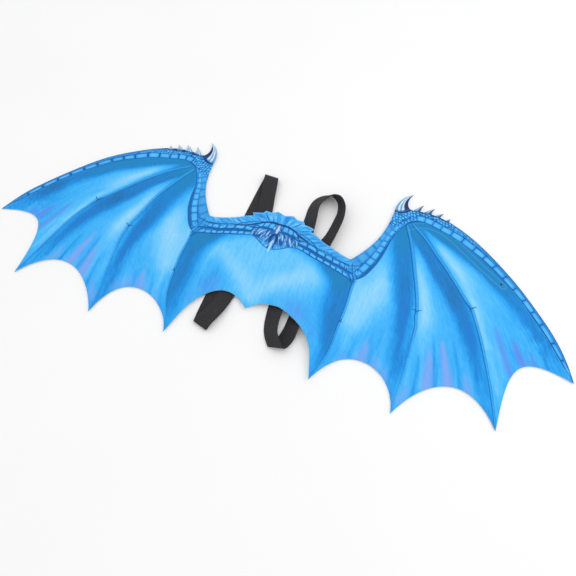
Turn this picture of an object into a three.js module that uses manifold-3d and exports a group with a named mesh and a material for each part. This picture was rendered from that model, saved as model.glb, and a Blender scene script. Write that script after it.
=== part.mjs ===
// Costume dragon wings, laid print side up: one die-cut felt panel with a claw and small spikes at each
// wrist and a tufted crest at the collar, a flat stay behind the leading edge of each wing, and two
// closed elastic bands behind the middle that the arms go through.
// Millimetres. X runs along the span, +Y towards the wearer's head, +Z up, and Z = 0 is the table.

import * as THREE from "three";
import { mergeVertices } from "three/addons/utils/BufferGeometryUtils.js";
import Module from "manifold-3d";

// ---- driving sizes ----
const FELT = 2; // felt thickness
const BAND_WIDTH = 25; // elastic band
const BAND_THICK = 1.2;
const STAY_WIDTH = 9; // flat stay along the leading edge
const STAY_THICK = 1.5;
const EYELET_R = 1.8; // small hole over the outer end of the right stay
const EYELET_AT = [349, 112];
const EDGE_STEPS = 11; // chords along a long edge of the cut
const SHORT_STEPS = 4; // chords along a spike or claw side
const BAND_STEPS = 3; // stations between two rows of a band
const STAY_STEPS = 3;
const HUMP_HALF = 160; // the panel is humped over the bands inside this |x|
const HUMP_LINES = 44; // lines across that zone

// ---- the cut, right half (the left half mirrors it), as the felt lies flat ----
// Each row is one cut edge: a cubic from the end of the row before, by two handles, to its own end.
const HEM_POINT = [0, -54];
const EDGES = [
  { edge: "bay 4", h1: [37, -17], h2: [82.7, -44], to: [112.2, -129.7] },
  { edge: "bay 3", h1: [136.6, -60.7], h2: [220, -58], to: [229.7, -136.3] },
  { edge: "bay 2", h1: [258.4, -86.5], h2: [317.2, -33.2], to: [366.5, -112.2] },
  { edge: "bay 1", h1: [372.4, -18], h2: [380, 10.7], to: [459.4, -13.2] },
  { edge: "outer leading edge", h1: [440.3, 45.3], h2: [411.5, 73.4], to: [383, 106.3] },
  { edge: "inner leading edge", h1: [350.3, 142.8], h2: [304, 183], to: [255.4, 202] },
];
// Spikes on the wrist ridge, outermost first: foot, tip, foot, and how far each side hollows.
const SPIKES = [
  { outer: [253.5, 202.6], tip: [255, 210], inner: [248, 204.2], hollow: 0.6 },
  { outer: [238, 206.8], tip: [242.5, 217], inner: [230, 208], hollow: 1.2 },
  { outer: [223, 208.6], tip: [226.5, 222], inner: [211, 208.6], hollow: 1.6 },
  { outer: [204.5, 208.4], tip: [208, 223.5], inner: [193, 206.6], hollow: 1.6 },
];
const CLAW = {
  outer: [187.5, 207.6],
  outerHandles: [[179, 214], [180, 231]],
  tip: [187.5, 240.5],
  innerHandles: [[171, 231.5], [164, 216]],
  inner: [163.8, 197],
};
const ARM = { h1: [161.5, 149.5], h2: [149.2, 120], to: [120, 84] };
const SHOULDER = { h1: [107.3, 82.6], h2: [78.3, 94], to: [67.7, 100.5] };
// Tufts of the crest, outermost first: tip, then the notch on the side of the middle.
const TUFTS = [
  { tip: [62, 104.5], notch: [49, 109.5] },
  { tip: [53, 115], notch: [36, 120] },
  { tip: [33, 125.5], notch: [22, 125] },
  { tip: [13.5, 130.5], notch: [0, 126] },
];

// ---- how the felt lies ----
// Soft shifts in the plane of the table, a row for each place where the felt lies off its flat cut.
const SHIFTS = [
  { place: "middle", u: 0, v: 40, reachU: 95, reachV: 130, dx: -7.8, dy: -1.7 },
  { place: "left lower tips", u: -150, v: -130, reachU: 110, reachV: 50, dx: 10.8, dy: 2.8 },
  { place: "right lower tips", u: 165, v: -130, reachU: 110, reachV: 50, dx: 4.6, dy: 2.6 },
  { place: "over the right band", u: 85, v: 100, reachU: 60, reachV: 60, dx: 2.6, dy: -8.1 },
  { place: "right of the hem", u: 95, v: -75, reachU: 45, reachV: 40, dx: 9.9, dy: 3.4 },
  { place: "left bays", u: -250, v: -75, reachU: 110, reachV: 60, dx: 4.8, dy: 4 },
  { place: "left shoulder", u: -120, v: 90, reachU: 60, reachV: 60, dx: -2, dy: 2.4 },
  { place: "right leading edge", u: 335, v: 140, reachU: 95, reachV: 80, dx: -1.6, dy: -1.2 },
  { place: "left leading edge", u: -335, v: 140, reachU: 95, reachV: 80, dx: -3.2, dy: 1.7 },
  { place: "left of the hem", u: -50, v: -45, reachU: 35, reachV: 30, dx: 0.8, dy: 2.4 },
];
// Height of the felt's underside at three lines across the panel, a row for each fold.
const HEM_Y = -45;
const MIDDLE_Y = 25;
const TOP_Y = 95;
const FOLDS = [
  { x: -160, hem: 0, middle: 0, top: 1.9 },
  { x: -118, hem: 0.3, middle: 0.6, top: 1.9 },
  { x: -74, hem: 3.3, middle: 3.3, top: 3.4 },
  { x: -24, hem: 3.7, middle: 3.5, top: 4 },
  { x: 4, hem: 4, middle: 3.8, top: 4.6 },
  { x: 25, hem: 6.2, middle: 5.4, top: 6.6 },
  { x: 48, hem: 11.4, middle: 10.4, top: 12 },
  { x: 64, hem: 11.2, middle: 10.2, top: 12.2 },
  { x: 87, hem: 12.4, middle: 11, top: 14 },
  { x: 130, hem: 1.2, middle: 1.4, top: 3.4 },
  { x: 160, hem: 0, middle: 0, top: 1.9 },
];
const WING_TOP = 1.9; // the wings rest on their stays at the top, and on the table below
const WING_TIP_X = 430; // and come down to the table towards the wing tips

// ---- bands: each row is a section of the closed loop ----
// x, y, z: the edge of the band that lies lower or to the left. From there its width runs at yaw degrees in
// plan, tipped up from the table by lean degrees: 0 is flat and 90 stands on edge.
const BAND_LEFT = [
  { x: -70, y: -60, z: 0.65, yaw: 0, lean: 0 },
  { x: -70, y: 20, z: 0.65, yaw: 0, lean: 0 },
  { x: -70, y: 110, z: 0.65, yaw: 0, lean: 0 },
  { x: -69, y: 170, z: 0.65, yaw: 0, lean: 0 },
  { x: -68, y: 193.5, z: 0.75, yaw: -2, lean: 0 },
  { x: -68, y: 200, z: 4.4, yaw: -4, lean: 0 },
  { x: -66, y: 193.5, z: 8.1, yaw: -2, lean: 0 },
  { x: -62, y: 174, z: 8, yaw: 0, lean: 0 },
  { x: -58, y: 152, z: 6, yaw: 0, lean: 0 },
  { x: -53.5, y: 128, z: 2.7, yaw: 0, lean: 0 },
  { x: -52, y: 100, z: 2.2, yaw: 0, lean: 0 },
  { x: -52, y: 20, z: 2.2, yaw: 0, lean: 0 },
  { x: -53, y: -40, z: 2.3, yaw: 0, lean: 0 },
  { x: -57, y: -68, z: 6.8, yaw: -5, lean: 0 },
  { x: -65, y: -89.5, z: 8, yaw: -15, lean: 0 },
  { x: -68, y: -97.5, z: 4.3, yaw: -18, lean: 0 },
  { x: -69.5, y: -89.5, z: 0.75, yaw: -13, lean: 0 },
];
const BAND_RIGHT = [
  { x: 26.5, y: -40, z: 0.65, yaw: 0, lean: 22 },
  { x: 26.5, y: 20, z: 0.65, yaw: 0, lean: 20 },
  { x: 27, y: 95, z: 0.65, yaw: 2, lean: 19 },
  { x: 26.8, y: 129, z: 0.65, yaw: -2, lean: 32 },
  { x: 26.1, y: 159, z: 0.65, yaw: -8.5, lean: 40 },
  { x: 30.7, y: 177.6, z: 0.65, yaw: -6.5, lean: 36 },
  { x: 42.3, y: 190.4, z: 0.65, yaw: -48.5, lean: 44.7 },
  { x: 54.3, y: 194.5, z: 0.65, yaw: -65.5, lean: 55.8 },
  { x: 67.1, y: 186.2, z: 0.65, yaw: -47, lean: 70.5 },
  { x: 73.6, y: 168, z: 0.65, yaw: -8.8, lean: 63.4 },
  { x: 73.1, y: 145.3, z: 0.65, yaw: -5.3, lean: 49.6 },
  { x: 68.8, y: 113.5, z: 0.65, yaw: -6.8, lean: 42.2 },
  { x: 60.7, y: 85, z: 0.65, yaw: -11, lean: 26.4 },
  { x: 62, y: 20, z: 0.65, yaw: 0, lean: 20 },
  { x: 60.3, y: -43.5, z: 0.65, yaw: 2, lean: 16 },
  { x: 59.4, y: -65, z: 0.65, yaw: 17, lean: 25 },
  { x: 55.2, y: -83.8, z: 0.65, yaw: 10.8, lean: 10 },
  { x: 48.5, y: -99.2, z: 2.8, yaw: 4, lean: 19 },
  { x: 45.4, y: -97, z: 3.6, yaw: 9.2, lean: 35 },
  { x: 33.6, y: -77.3, z: 0.9, yaw: 3.1, lean: 34 },
];

// ---- stay: the middle line of the strip behind the right wing's leading edge ----
const STAY_LINE = [
  { x: 177, y: 146 },
  { x: 188, y: 163 },
  { x: 203, y: 176.5 },
  { x: 220, y: 182 },
  { x: 242, y: 180 },
  { x: 264, y: 170.5 },
  { x: 290, y: 152 },
  { x: 318, y: 132 },
  { x: 352, y: 109 },
];

// ---- materials ----
const FELT_BLUE = new THREE.MeshStandardMaterial({ color: 0x2f9be8, roughness: 0.9, metalness: 0 });
const ELASTIC_L = new THREE.MeshStandardMaterial({ color: 0x2b2a2d, roughness: 0.85, metalness: 0 });
const ELASTIC_R = ELASTIC_L.clone();
const STAY_L = new THREE.MeshStandardMaterial({ color: 0x17181b, roughness: 0.6, metalness: 0 });
const STAY_R = STAY_L.clone();

const wasm = await Module();
wasm.setup();

// ---- helpers ----
const smooth = (t) => {
  const s = Math.min(1, Math.max(0, t));
  return s * s * (3 - 2 * s);
};

// Where a point of the flat cut lies.
function lie([u, v]) {
  const p = new THREE.Vector2(u, v);
  for (const row of SHIFTS) {
    const share = Math.exp(-(((u - row.u) / row.reachU) ** 2) - ((v - row.v) / row.reachV) ** 2);
    p.x += row.dx * share;
    p.y += row.dy * share;
  }
  return p;
}

// Height of the felt's underside at a point of the table.
function underside(x, y) {
  const across = (hem, middle, top) =>
    y < MIDDLE_Y
      ? THREE.MathUtils.lerp(hem, middle, smooth((y - HEM_Y) / (MIDDLE_Y - HEM_Y)))
      : THREE.MathUtils.lerp(middle, top, smooth((y - MIDDLE_Y) / (TOP_Y - MIDDLE_Y)));
  const last = FOLDS.length - 1;
  if (x <= FOLDS[0].x || x >= FOLDS[last].x) {
    const out = (Math.abs(x) - HUMP_HALF) / (WING_TIP_X - HUMP_HALF);
    return across(0, 0, WING_TOP) * (1 - smooth((out - 0.75) / 0.25));
  }
  const i = FOLDS.findIndex((row, k) => k < last && x < FOLDS[k + 1].x);
  const a = FOLDS[i];
  const b = FOLDS[i + 1];
  const t = smooth((x - a.x) / (b.x - a.x));
  const mix = (key) => THREE.MathUtils.lerp(a[key], b[key], t);
  return across(mix("hem"), mix("middle"), mix("top"));
}

// A closed geometry from points and triangles, turned so that its faces point out.
function closed(points, triangles) {
  let volume = 0;
  const [a, b, c] = [new THREE.Vector3(), new THREE.Vector3(), new THREE.Vector3()];
  for (const [i, j, k] of triangles)
    volume += a.copy(points[i]).dot(b.copy(points[j]).cross(c.copy(points[k])));
  const index = triangles.flatMap(([i, j, k]) => (volume > 0 ? [i, j, k] : [i, k, j]));
  return new THREE.BufferGeometry().setFromPoints(points).setIndex(index);
}

function toSolid(geometry) {
  const bare = geometry.clone();
  for (const name of Object.keys(bare.attributes))
    if (name !== "position") bare.deleteAttribute(name);
  const merged = mergeVertices(bare, 1e-4);
  return new wasm.Manifold(
    new wasm.Mesh({
      numProp: 3,
      vertProperties: merged.attributes.position.array,
      triVerts: new Uint32Array(merged.index.array),
    }),
  );
}

function toGeometry(solid) {
  const mesh = solid.getMesh();
  const geometry = new THREE.BufferGeometry();
  geometry.setAttribute("position", new THREE.BufferAttribute(mesh.vertProperties, 3));
  geometry.setIndex(new THREE.BufferAttribute(mesh.triVerts, 1));
  geometry.computeVertexNormals();
  return geometry;
}

// ---- outline ----
// The right half of the cut, from the hem's middle point round the wing to the crest's middle notch.
function halfOutline() {
  const points = [new THREE.Vector2(...HEM_POINT)];
  const cubic = (h1, h2, to, steps) => {
    const curve = new THREE.CubicBezierCurve(
      points[points.length - 1],
      new THREE.Vector2(...h1),
      new THREE.Vector2(...h2),
      new THREE.Vector2(...to),
    );
    points.push(...curve.getPoints(steps).slice(1));
  };
  const line = (to) => points.push(new THREE.Vector2(...to));
  // A spike's side, hollowed by a given depth to one side of its chord.
  const hollow = (to, depth) => {
    const from = points[points.length - 1];
    const end = new THREE.Vector2(...to);
    const side = end.clone().sub(from).rotateAround(new THREE.Vector2(), Math.PI / 2).setLength(depth);
    const curve = new THREE.QuadraticBezierCurve(from, from.clone().lerp(end, 0.5).add(side), end);
    points.push(...curve.getPoints(SHORT_STEPS).slice(1));
  };
  for (const row of EDGES) cubic(row.h1, row.h2, row.to, EDGE_STEPS);
  for (const row of SPIKES) {
    line(row.outer);
    hollow(row.tip, row.hollow);
    hollow(row.inner, -row.hollow);
  }
  line(CLAW.outer);
  cubic(CLAW.outerHandles[0], CLAW.outerHandles[1], CLAW.tip, 2 * SHORT_STEPS);
  cubic(CLAW.innerHandles[0], CLAW.innerHandles[1], CLAW.inner, 2 * SHORT_STEPS);
  cubic(ARM.h1, ARM.h2, ARM.to, EDGE_STEPS);
  cubic(SHOULDER.h1, SHOULDER.h2, SHOULDER.to, SHORT_STEPS);
  for (const row of TUFTS) {
    line(row.tip);
    line(row.notch);
  }
  return points;
}

function outline() {
  const right = halfOutline();
  const left = right
    .slice(1, -1)
    .reverse()
    .map((p) => new THREE.Vector2(-p.x, p.y));
  return [...right, ...left].map((p) => lie([p.x, p.y]));
}

// ---- felt panel: a draped sheet trimmed by the cut ----
function drapedSheet() {
  const xs = [-500, -WING_TIP_X, -395, -362.5];
  for (let i = 0; i <= HUMP_LINES; i++) xs.push(-HUMP_HALF + (2 * HUMP_HALF * i) / HUMP_LINES);
  xs.push(362.5, 395, WING_TIP_X, 500);
  const ys = [-170, HEM_Y, -22, 2, MIDDLE_Y, 48, 72, TOP_Y, 270];
  const points = [];
  for (const rise of [0, FELT])
    for (const x of xs) for (const y of ys) points.push(new THREE.Vector3(x, y, underside(x, y) + rise));
  const at = (layer, i, j) => layer * xs.length * ys.length + i * ys.length + j;
  const triangles = [];
  const quad = (a, b, c, d) => triangles.push([a, b, c], [a, c, d]);
  for (let i = 0; i + 1 < xs.length; i++)
    for (let j = 0; j + 1 < ys.length; j++) {
      quad(at(1, i, j), at(1, i + 1, j), at(1, i + 1, j + 1), at(1, i, j + 1));
      quad(at(0, i, j), at(0, i, j + 1), at(0, i + 1, j + 1), at(0, i + 1, j));
    }
  for (let i = 0; i + 1 < xs.length; i++) {
    const j = ys.length - 1;
    quad(at(0, i, 0), at(0, i + 1, 0), at(1, i + 1, 0), at(1, i, 0));
    quad(at(0, i + 1, j), at(0, i, j), at(1, i, j), at(1, i + 1, j));
  }
  for (let j = 0; j + 1 < ys.length; j++) {
    const i = xs.length - 1;
    quad(at(0, 0, j + 1), at(0, 0, j), at(1, 0, j), at(1, 0, j + 1));
    quad(at(0, i, j), at(0, i, j + 1), at(1, i, j + 1), at(1, i, j));
  }
  return closed(points, triangles);
}

function prism(points2, depth, below) {
  return new THREE.ExtrudeGeometry(new THREE.Shape(points2), {
    depth,
    bevelEnabled: false,
    steps: 1,
  }).translate(0, 0, -below);
}

function feltPanel() {
  const cut = toSolid(prism(outline(), 60, 20));
  const hole = lie(EYELET_AT);
  const eyelet = toSolid(
    new THREE.CylinderGeometry(EYELET_R, EYELET_R, 40, 12)
      .rotateX(Math.PI / 2)
      .translate(hole.x, hole.y, 0),
  );
  return toGeometry(toSolid(drapedSheet()).intersect(cut).subtract(eyelet));
}

// ---- strips: a flat band swept along a pair of edges ----
function strip(lower, upper, width, thick, loop) {
  const count = lower.length;
  const middle = lower.map((p, i) => p.clone().lerp(upper[i], 0.5));
  const points = [];
  for (let i = 0; i < count; i++) {
    const ahead = middle[loop ? (i + 1) % count : Math.min(i + 1, count - 1)];
    const behind = middle[loop ? (i + count - 1) % count : Math.max(i - 1, 0)];
    const along = ahead.clone().sub(behind).normalize();
    const across = upper[i].clone().sub(lower[i]);
    across.addScaledVector(along, -across.dot(along) * (loop ? 0 : 1)).setLength(width / 2);
    const through = along.clone().cross(across).setLength(thick / 2);
    for (const [w, t] of [[-1, -1], [1, -1], [1, 1], [-1, 1]])
      points.push(middle[i].clone().addScaledVector(across, w).addScaledVector(through, t));
  }
  const triangles = [];
  const spans = loop ? count : count - 1;
  for (let i = 0; i < spans; i++)
    for (let k = 0; k < 4; k++) {
      const a = i * 4 + k;
      const b = i * 4 + ((k + 1) % 4);
      const c = ((i + 1) % count) * 4 + ((k + 1) % 4);
      const d = ((i + 1) % count) * 4 + k;
      triangles.push([a, b, c], [a, c, d]);
    }
  if (!loop) {
    const e = (count - 1) * 4;
    triangles.push([0, 3, 2], [0, 2, 1], [e, e + 1, e + 2], [e, e + 2, e + 3]);
  }
  return closed(points, triangles);
}

// A closed elastic band through its table's sections; its width stays the same all round.
function elastic(rows) {
  const lowerRows = rows.map((r) => new THREE.Vector3(r.x, r.y, r.z));
  const upperRows = rows.map((r, i) => {
    const [yaw, lean] = [r.yaw, r.lean].map(THREE.MathUtils.degToRad);
    const across = new THREE.Vector3(
      Math.cos(lean) * Math.cos(yaw),
      Math.cos(lean) * Math.sin(yaw),
      Math.sin(lean),
    );
    return lowerRows[i].clone().addScaledVector(across, BAND_WIDTH);
  });
  const curve = (points) => new THREE.CatmullRomCurve3(points, true, "centripetal");
  const onTable = (p) => p.setZ(Math.max(p.z, BAND_THICK / 2 + 0.02));
  const [a, b] = [curve(lowerRows), curve(upperRows)];
  const count = rows.length * BAND_STEPS;
  const lower = [];
  const upper = [];
  for (let i = 0; i < count; i++) {
    lower.push(onTable(a.getPoint(i / count)));
    upper.push(onTable(b.getPoint(i / count)));
  }
  return strip(lower, upper, BAND_WIDTH, BAND_THICK, true);
}

function stay(side) {
  const curve = new THREE.CatmullRomCurve3(
    STAY_LINE.map((r) => {
      const p = lie([side * r.x, r.y]);
      return new THREE.Vector3(p.x, p.y, STAY_THICK / 2);
    }),
    false,
    "centripetal",
  );
  const steps = (STAY_LINE.length - 1) * STAY_STEPS;
  const lower = [];
  const upper = [];
  for (let i = 0; i <= steps; i++) {
    const p = curve.getPoint(i / steps);
    const t = curve.getTangent(i / steps);
    const across = new THREE.Vector3(-t.y, t.x, 0).setLength(STAY_WIDTH / 2);
    lower.push(p.clone().sub(across));
    upper.push(p.clone().add(across));
  }
  return strip(lower, upper, STAY_WIDTH, STAY_THICK, false);
}

// ---- assembly ----
const wings = new THREE.Group();
const place = (name, geometry, material) => {
  const mesh = new THREE.Mesh(geometry, material);
  mesh.name = name;
  wings.add(mesh);
};
place("wing_panel", feltPanel(), FELT_BLUE);
place("strap_left", elastic(BAND_LEFT), ELASTIC_L);
place("strap_right", elastic(BAND_RIGHT), ELASTIC_R);
place("stay_left", stay(-1), STAY_L);
place("stay_right", stay(1), STAY_R);

// The origin is on the table under the middle of the whole outline.
const box = new THREE.Box3().setFromObject(wings);
const costumeWings = new THREE.Group();
wings.position.set(-(box.min.x + box.max.x) / 2, -(box.min.y + box.max.y) / 2, -box.min.z);
costumeWings.add(wings);

export default costumeWings;
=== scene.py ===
"""Costume dragon wings in printed felt, laid print side up on a pale floor.

The felt panel is meshed from the same cut, lay and fold tables as the solid part, in millimetres, and then put
into metres. Its print is drawn by shader nodes from distances to the lines of the design, which are worked out
here for every vertex of the panel. The elastic bands are swept from their section tables.
"""

import math

import bpy
import numpy as np
from mathutils import Matrix, Vector
from mathutils.geometry import delaunay_2d_cdt
from mathutils.kdtree import KDTree


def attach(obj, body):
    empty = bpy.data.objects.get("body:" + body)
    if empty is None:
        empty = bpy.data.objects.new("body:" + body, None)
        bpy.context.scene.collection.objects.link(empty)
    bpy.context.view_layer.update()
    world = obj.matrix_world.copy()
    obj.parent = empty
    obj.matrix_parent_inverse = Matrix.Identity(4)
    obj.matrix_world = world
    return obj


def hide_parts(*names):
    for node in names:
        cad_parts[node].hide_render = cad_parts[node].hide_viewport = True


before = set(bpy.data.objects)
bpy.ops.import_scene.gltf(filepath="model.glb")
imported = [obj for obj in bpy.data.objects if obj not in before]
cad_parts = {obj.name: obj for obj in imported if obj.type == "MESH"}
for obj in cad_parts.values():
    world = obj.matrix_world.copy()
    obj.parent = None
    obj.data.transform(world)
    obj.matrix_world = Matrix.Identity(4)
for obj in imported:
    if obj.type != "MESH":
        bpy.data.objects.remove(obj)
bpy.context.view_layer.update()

MM = 0.001
PLACE = (-0.011, -53.020)  # from the cut's own origin to the frame's, in mm

# ---------------------------------------------------------------- sizes and tables of the object (mm)
FELT = 2.0
BAND_WIDTH = 25.0
BAND_THICK = 1.2
STAY_WIDTH = 9.0
STAY_THICK = 1.5
EYELET_R = 1.8
EYELET_AT = (349.0, 112.0)

# The cut, right half: each row is a cubic from the end of the row before, by two handles, to its own end.
HEM_POINT = (0, -54)
EDGES = [  # edge, handle, handle, end
    ("bay 4", (37, -17), (82.7, -44), (112.2, -129.7)),
    ("bay 3", (136.6, -60.7), (220, -58), (229.7, -136.3)),
    ("bay 2", (258.4, -86.5), (317.2, -33.2), (366.5, -112.2)),
    ("bay 1", (372.4, -18), (380, 10.7), (459.4, -13.2)),
    ("outer leading edge", (440.3, 45.3), (411.5, 73.4), (383, 106.3)),
    ("inner leading edge", (350.3, 142.8), (304, 183), (255.4, 202)),
]
SPIKES = [  # outer foot, tip, inner foot, hollow
    ((253.5, 202.6), (255, 210), (248, 204.2), 0.6),
    ((238, 206.8), (242.5, 217), (230, 208), 1.2),
    ((223, 208.6), (226.5, 222), (211, 208.6), 1.6),
    ((204.5, 208.4), (208, 223.5), (193, 206.6), 1.6),
]
CLAW_OUTER = ((187.5, 207.6), (179, 214), (180, 231), (187.5, 240.5))
CLAW_INNER = ((187.5, 240.5), (171, 231.5), (164, 216), (163.8, 197))
CLAW_FOOT = [(163.8, 197), (170, 196.6), (176, 198.4), (182, 202.6), (187.5, 207.6)]
ARM = ((161.5, 149.5), (149.2, 120), (120, 84))
SHOULDER = ((107.3, 82.6), (78.3, 94), (67.7, 100.5))
TUFTS = [  # tip, notch towards the middle
    ((62, 104.5), (49, 109.5)),
    ((53, 115), (36, 120)),
    ((33, 125.5), (22, 125)),
    ((13.5, 130.5), (0, 126)),
]

# How the felt lies: soft shifts in the plane of the floor.
SHIFTS = [  # u, v, reach in u, reach in v, dx, dy
    (0, 40, 95, 130, -7.8, -1.7),
    (-150, -130, 110, 50, 10.8, 2.8),
    (165, -130, 110, 50, 4.6, 2.6),
    (85, 100, 60, 60, 2.6, -8.1),
    (95, -75, 45, 40, 9.9, 3.4),
    (-250, -75, 110, 60, 4.8, 4),
    (-120, 90, 60, 60, -2, 2.4),
    (335, 140, 95, 80, -1.6, -1.2),
    (-335, 140, 95, 80, -3.2, 1.7),
    (-50, -45, 35, 30, 0.8, 2.4),
]
HEM_Y, MIDDLE_Y, TOP_Y = -45, 25, 95
FOLDS = np.array([  # x, then the underside's height at the hem, the middle and the top
    (-160, 0, 0, 1.9),
    (-118, 0.3, 0.6, 1.9),
    (-74, 3.3, 3.3, 3.4),
    (-24, 3.7, 3.5, 4),
    (4, 4, 3.8, 4.6),
    (25, 6.2, 5.4, 6.6),
    (48, 11.4, 10.4, 12),
    (64, 11.2, 10.2, 12.2),
    (87, 12.4, 11, 14),
    (130, 1.2, 1.4, 3.4),
    (160, 0, 0, 1.9),
])
HUMP_HALF, WING_TOP, WING_TIP_X = 160, 1.9, 430

BAND_LEFT = [  # x, y, z of the lower or left edge, yaw, lean
    (-70, -60, 0.65, 0, 0), (-70, 20, 0.65, 0, 0), (-70, 110, 0.65, 0, 0), (-69, 170, 0.65, 0, 0),
    (-68, 193.5, 0.75, -2, 0), (-68, 200, 4.4, -4, 0), (-66, 193.5, 8.1, -2, 0), (-62, 174, 8, 0, 0),
    (-58, 152, 6, 0, 0), (-53.5, 128, 2.7, 0, 0), (-52, 100, 2.2, 0, 0), (-52, 20, 2.2, 0, 0),
    (-53, -40, 2.3, 0, 0), (-57, -68, 6.8, -5, 0), (-65, -89.5, 8, -15, 0), (-68, -97.5, 4.3, -18, 0),
    (-69.5, -89.5, 0.75, -13, 0),
]
BAND_RIGHT = [
    (26.5, -40, 0.65, 0, 22), (26.5, 20, 0.65, 0, 20), (27, 95, 0.65, 2, 19), (26.8, 129, 0.65, -2, 32),
    (26.1, 159, 0.65, -8.5, 40), (30.7, 177.6, 0.65, -6.5, 36), (42.3, 190.4, 0.65, -48.5, 44.7), (54.3, 194.5, 0.65, -65.5, 55.8),
    (67.1, 186.2, 0.65, -47, 70.5), (73.6, 168, 0.65, -8.8, 63.4), (73.1, 145.3, 0.65, -5.3, 49.6), (68.8, 113.5, 0.65, -6.8, 42.2),
    (60.7, 85, 0.65, -11, 26.4), (62, 20, 0.65, 0, 20), (60.3, -43.5, 0.65, 2, 16), (59.4, -65, 0.65, 17, 25),
    (55.2, -83.8, 0.65, 10.8, 10), (48.5, -99.2, 2.8, 4, 19), (45.4, -97, 3.6, 9.2, 35), (33.6, -77.3, 0.9, 3.1, 34),
]
STAY_LINE = [(177, 146), (188, 163), (203, 176.5), (220, 182), (242, 180), (264, 170.5), (290, 152), (318, 132), (352, 109)]

# ---------------------------------------------------------------- lines of the printed design, right half (mm)
WRIST = (196, 178)
BONE_A = [(201, 176), (214, 166), (228, 153), (240, 140), (252, 126.5), (264, 113), (276, 98.5), (290, 82), (303, 67),
          (314, 55), (322, 40), (331, 20), (340, -6), (347, -30), (354, -56), (360, -82), (366.5, -112)]
BONE_B = [(191, 171), (197, 158), (204, 142), (211, 124), (218, 104), (224, 84), (230, 62), (235, 43), (238.5, 26),
          (239.5, 5), (239, -20), (238, -45), (236, -75), (233, -105), (229.7, -136)]
BONE_C = [(138, 50), (135.5, 40), (135.5, 22), (136, 5), (135, -12), (133, -28), (129.5, -48), (124.5, -74), (118, -104),
          (112.2, -129.7)]
ARM_LINE = [(138, 50), (144, 57), (149, 66), (153, 75), (158, 87), (162, 99), (165, 111), (167.5, 122), (170, 134),
            (173, 144), (177, 154), (182, 165), (187, 173)]
LEAD_LINE = [(187, 173), (191, 178.5), (196, 183), (204, 186.8), (214, 188), (226, 186), (242, 181), (260, 175.5),
             (278, 168.5), (297, 158), (313, 148.5), (330, 136), (347, 121.5), (365, 104.5), (381, 88.5), (395, 73),
             (408, 57.5), (420, 42), (433, 23), (446, 4), (459.4, -13.2)]
CREST_LOW = [(0, 55), (5, 57.5), (12, 61), (20, 65.5), (28, 70), (37, 72.3), (50, 69), (60, 65.5), (72, 62), (84, 58.5),
             (96, 54.5), (106, 52.3), (118, 49.7), (127, 47.5), (138, 50)]
# Where the light middle of the panel goes over into the dark along bone C, and the palest streak in that middle.
MIDDLE_SHADE = [(38, 77), (57, 70), (71, 62), (82, 53.5), (90.5, 43), (100, 30), (106, 10), (108, -10), (107, -25), (107, -40),
                (109, -70), (112, -125)]
MIDDLE_STREAK = [(0, -34), (8, -22), (17, -11), (30, 0), (44, 10), (60, 21), (74, 31), (85, 44), (93, 62), (99, 82)]
# Light and dark across each bay between two bones, at shares of the way down them.
BAY_CB = [  # share, at the inner bone, palest, where that is, its reach, where the dark begins, how dark, at the outer bone
    (0.00, -0.90, -0.90, 0.20, 0.20, 0.10, 1.00, 1.00),
    (0.10, -0.60, -0.55, 0.20, 0.20, 0.18, 0.84, 0.80),
    (0.18, 0.00, 0.02, 0.20, 0.22, 0.32, 0.84, 0.72),
    (0.25, 0.30, 0.38, 0.20, 0.26, 0.44, 0.88, 0.66),
    (0.35, 0.40, 1.05, 0.33, 0.24, 0.59, 0.97, 0.50),
    (0.45, 0.70, 1.04, 0.34, 0.28, 0.69, 0.97, 0.26),
    (0.55, 0.80, 1.00, 0.22, 0.28, 0.72, 0.95, 0.26),
    (0.65, 0.55, 0.95, 0.15, 0.20, 0.79, 0.90, 0.36),
    (0.72, 0.00, 0.30, 0.15, 0.20, 0.81, 0.86, 0.54),
    (0.82, -0.10, 0.08, 0.15, 0.20, 0.84, 0.76, 0.52),
    (1.00, -0.30, -0.25, 0.15, 0.20, 0.88, 0.56, 0.50),
]
BAY_BA = [
    (0.00, -0.90, -0.90, 0.15, 0.20, 0.10, 1.00, 1.00),
    (0.10, -0.45, -0.45, 0.15, 0.20, 0.25, 1.00, 1.00),
    (0.20, 0.10, 0.34, 0.15, 0.22, 0.46, 0.92, 0.92),
    (0.30, 0.35, 0.98, 0.15, 0.17, 0.52, 0.95, 0.95),
    (0.40, 0.50, 1.12, 0.15, 0.19, 0.62, 0.95, 0.80),
    (0.50, 0.40, 1.05, 0.15, 0.18, 0.66, 0.95, 0.52),
    (0.60, 0.20, 0.52, 0.15, 0.18, 0.73, 0.95, 0.52),
    (0.70, 0.10, 0.12, 0.15, 0.20, 0.79, 0.80, 0.52),
    (0.82, 0.05, 0.05, 0.15, 0.20, 0.87, 0.50, 0.50),
    (1.00, -0.25, -0.20, 0.15, 0.20, 0.90, 0.45, 0.45),
]
BAY_AE = [
    (0.00, -0.90, -0.90, 0.30, 0.20, 0.20, 1.00, 1.00),
    (0.08, -0.70, -0.45, 0.28, 0.14, 0.44, 0.92, 0.90),
    (0.13, -0.50, 0.05, 0.27, 0.14, 0.47, 0.90, 0.90),
    (0.20, -0.20, 0.98, 0.255, 0.17, 0.53, 0.90, 0.90),
    (0.30, 0.00, 1.08, 0.235, 0.22, 0.60, 0.86, 0.90),
    (0.40, 0.25, 0.84, 0.16, 0.32, 0.67, 0.88, 0.90),
    (0.50, 0.35, 0.40, 0.12, 0.42, 0.69, 0.84, 0.88),
    (0.60, 0.30, 0.26, 0.10, 0.30, 0.745, 0.80, 0.82),
    (0.70, 0.25, 0.26, 0.10, 0.25, 0.79, 0.78, 0.80),
    (0.82, 0.15, 0.18, 0.10, 0.20, 0.84, 0.68, 0.60),
    (1.00, 0.00, 0.05, 0.10, 0.20, 0.90, 0.30, 0.25),
]
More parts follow.
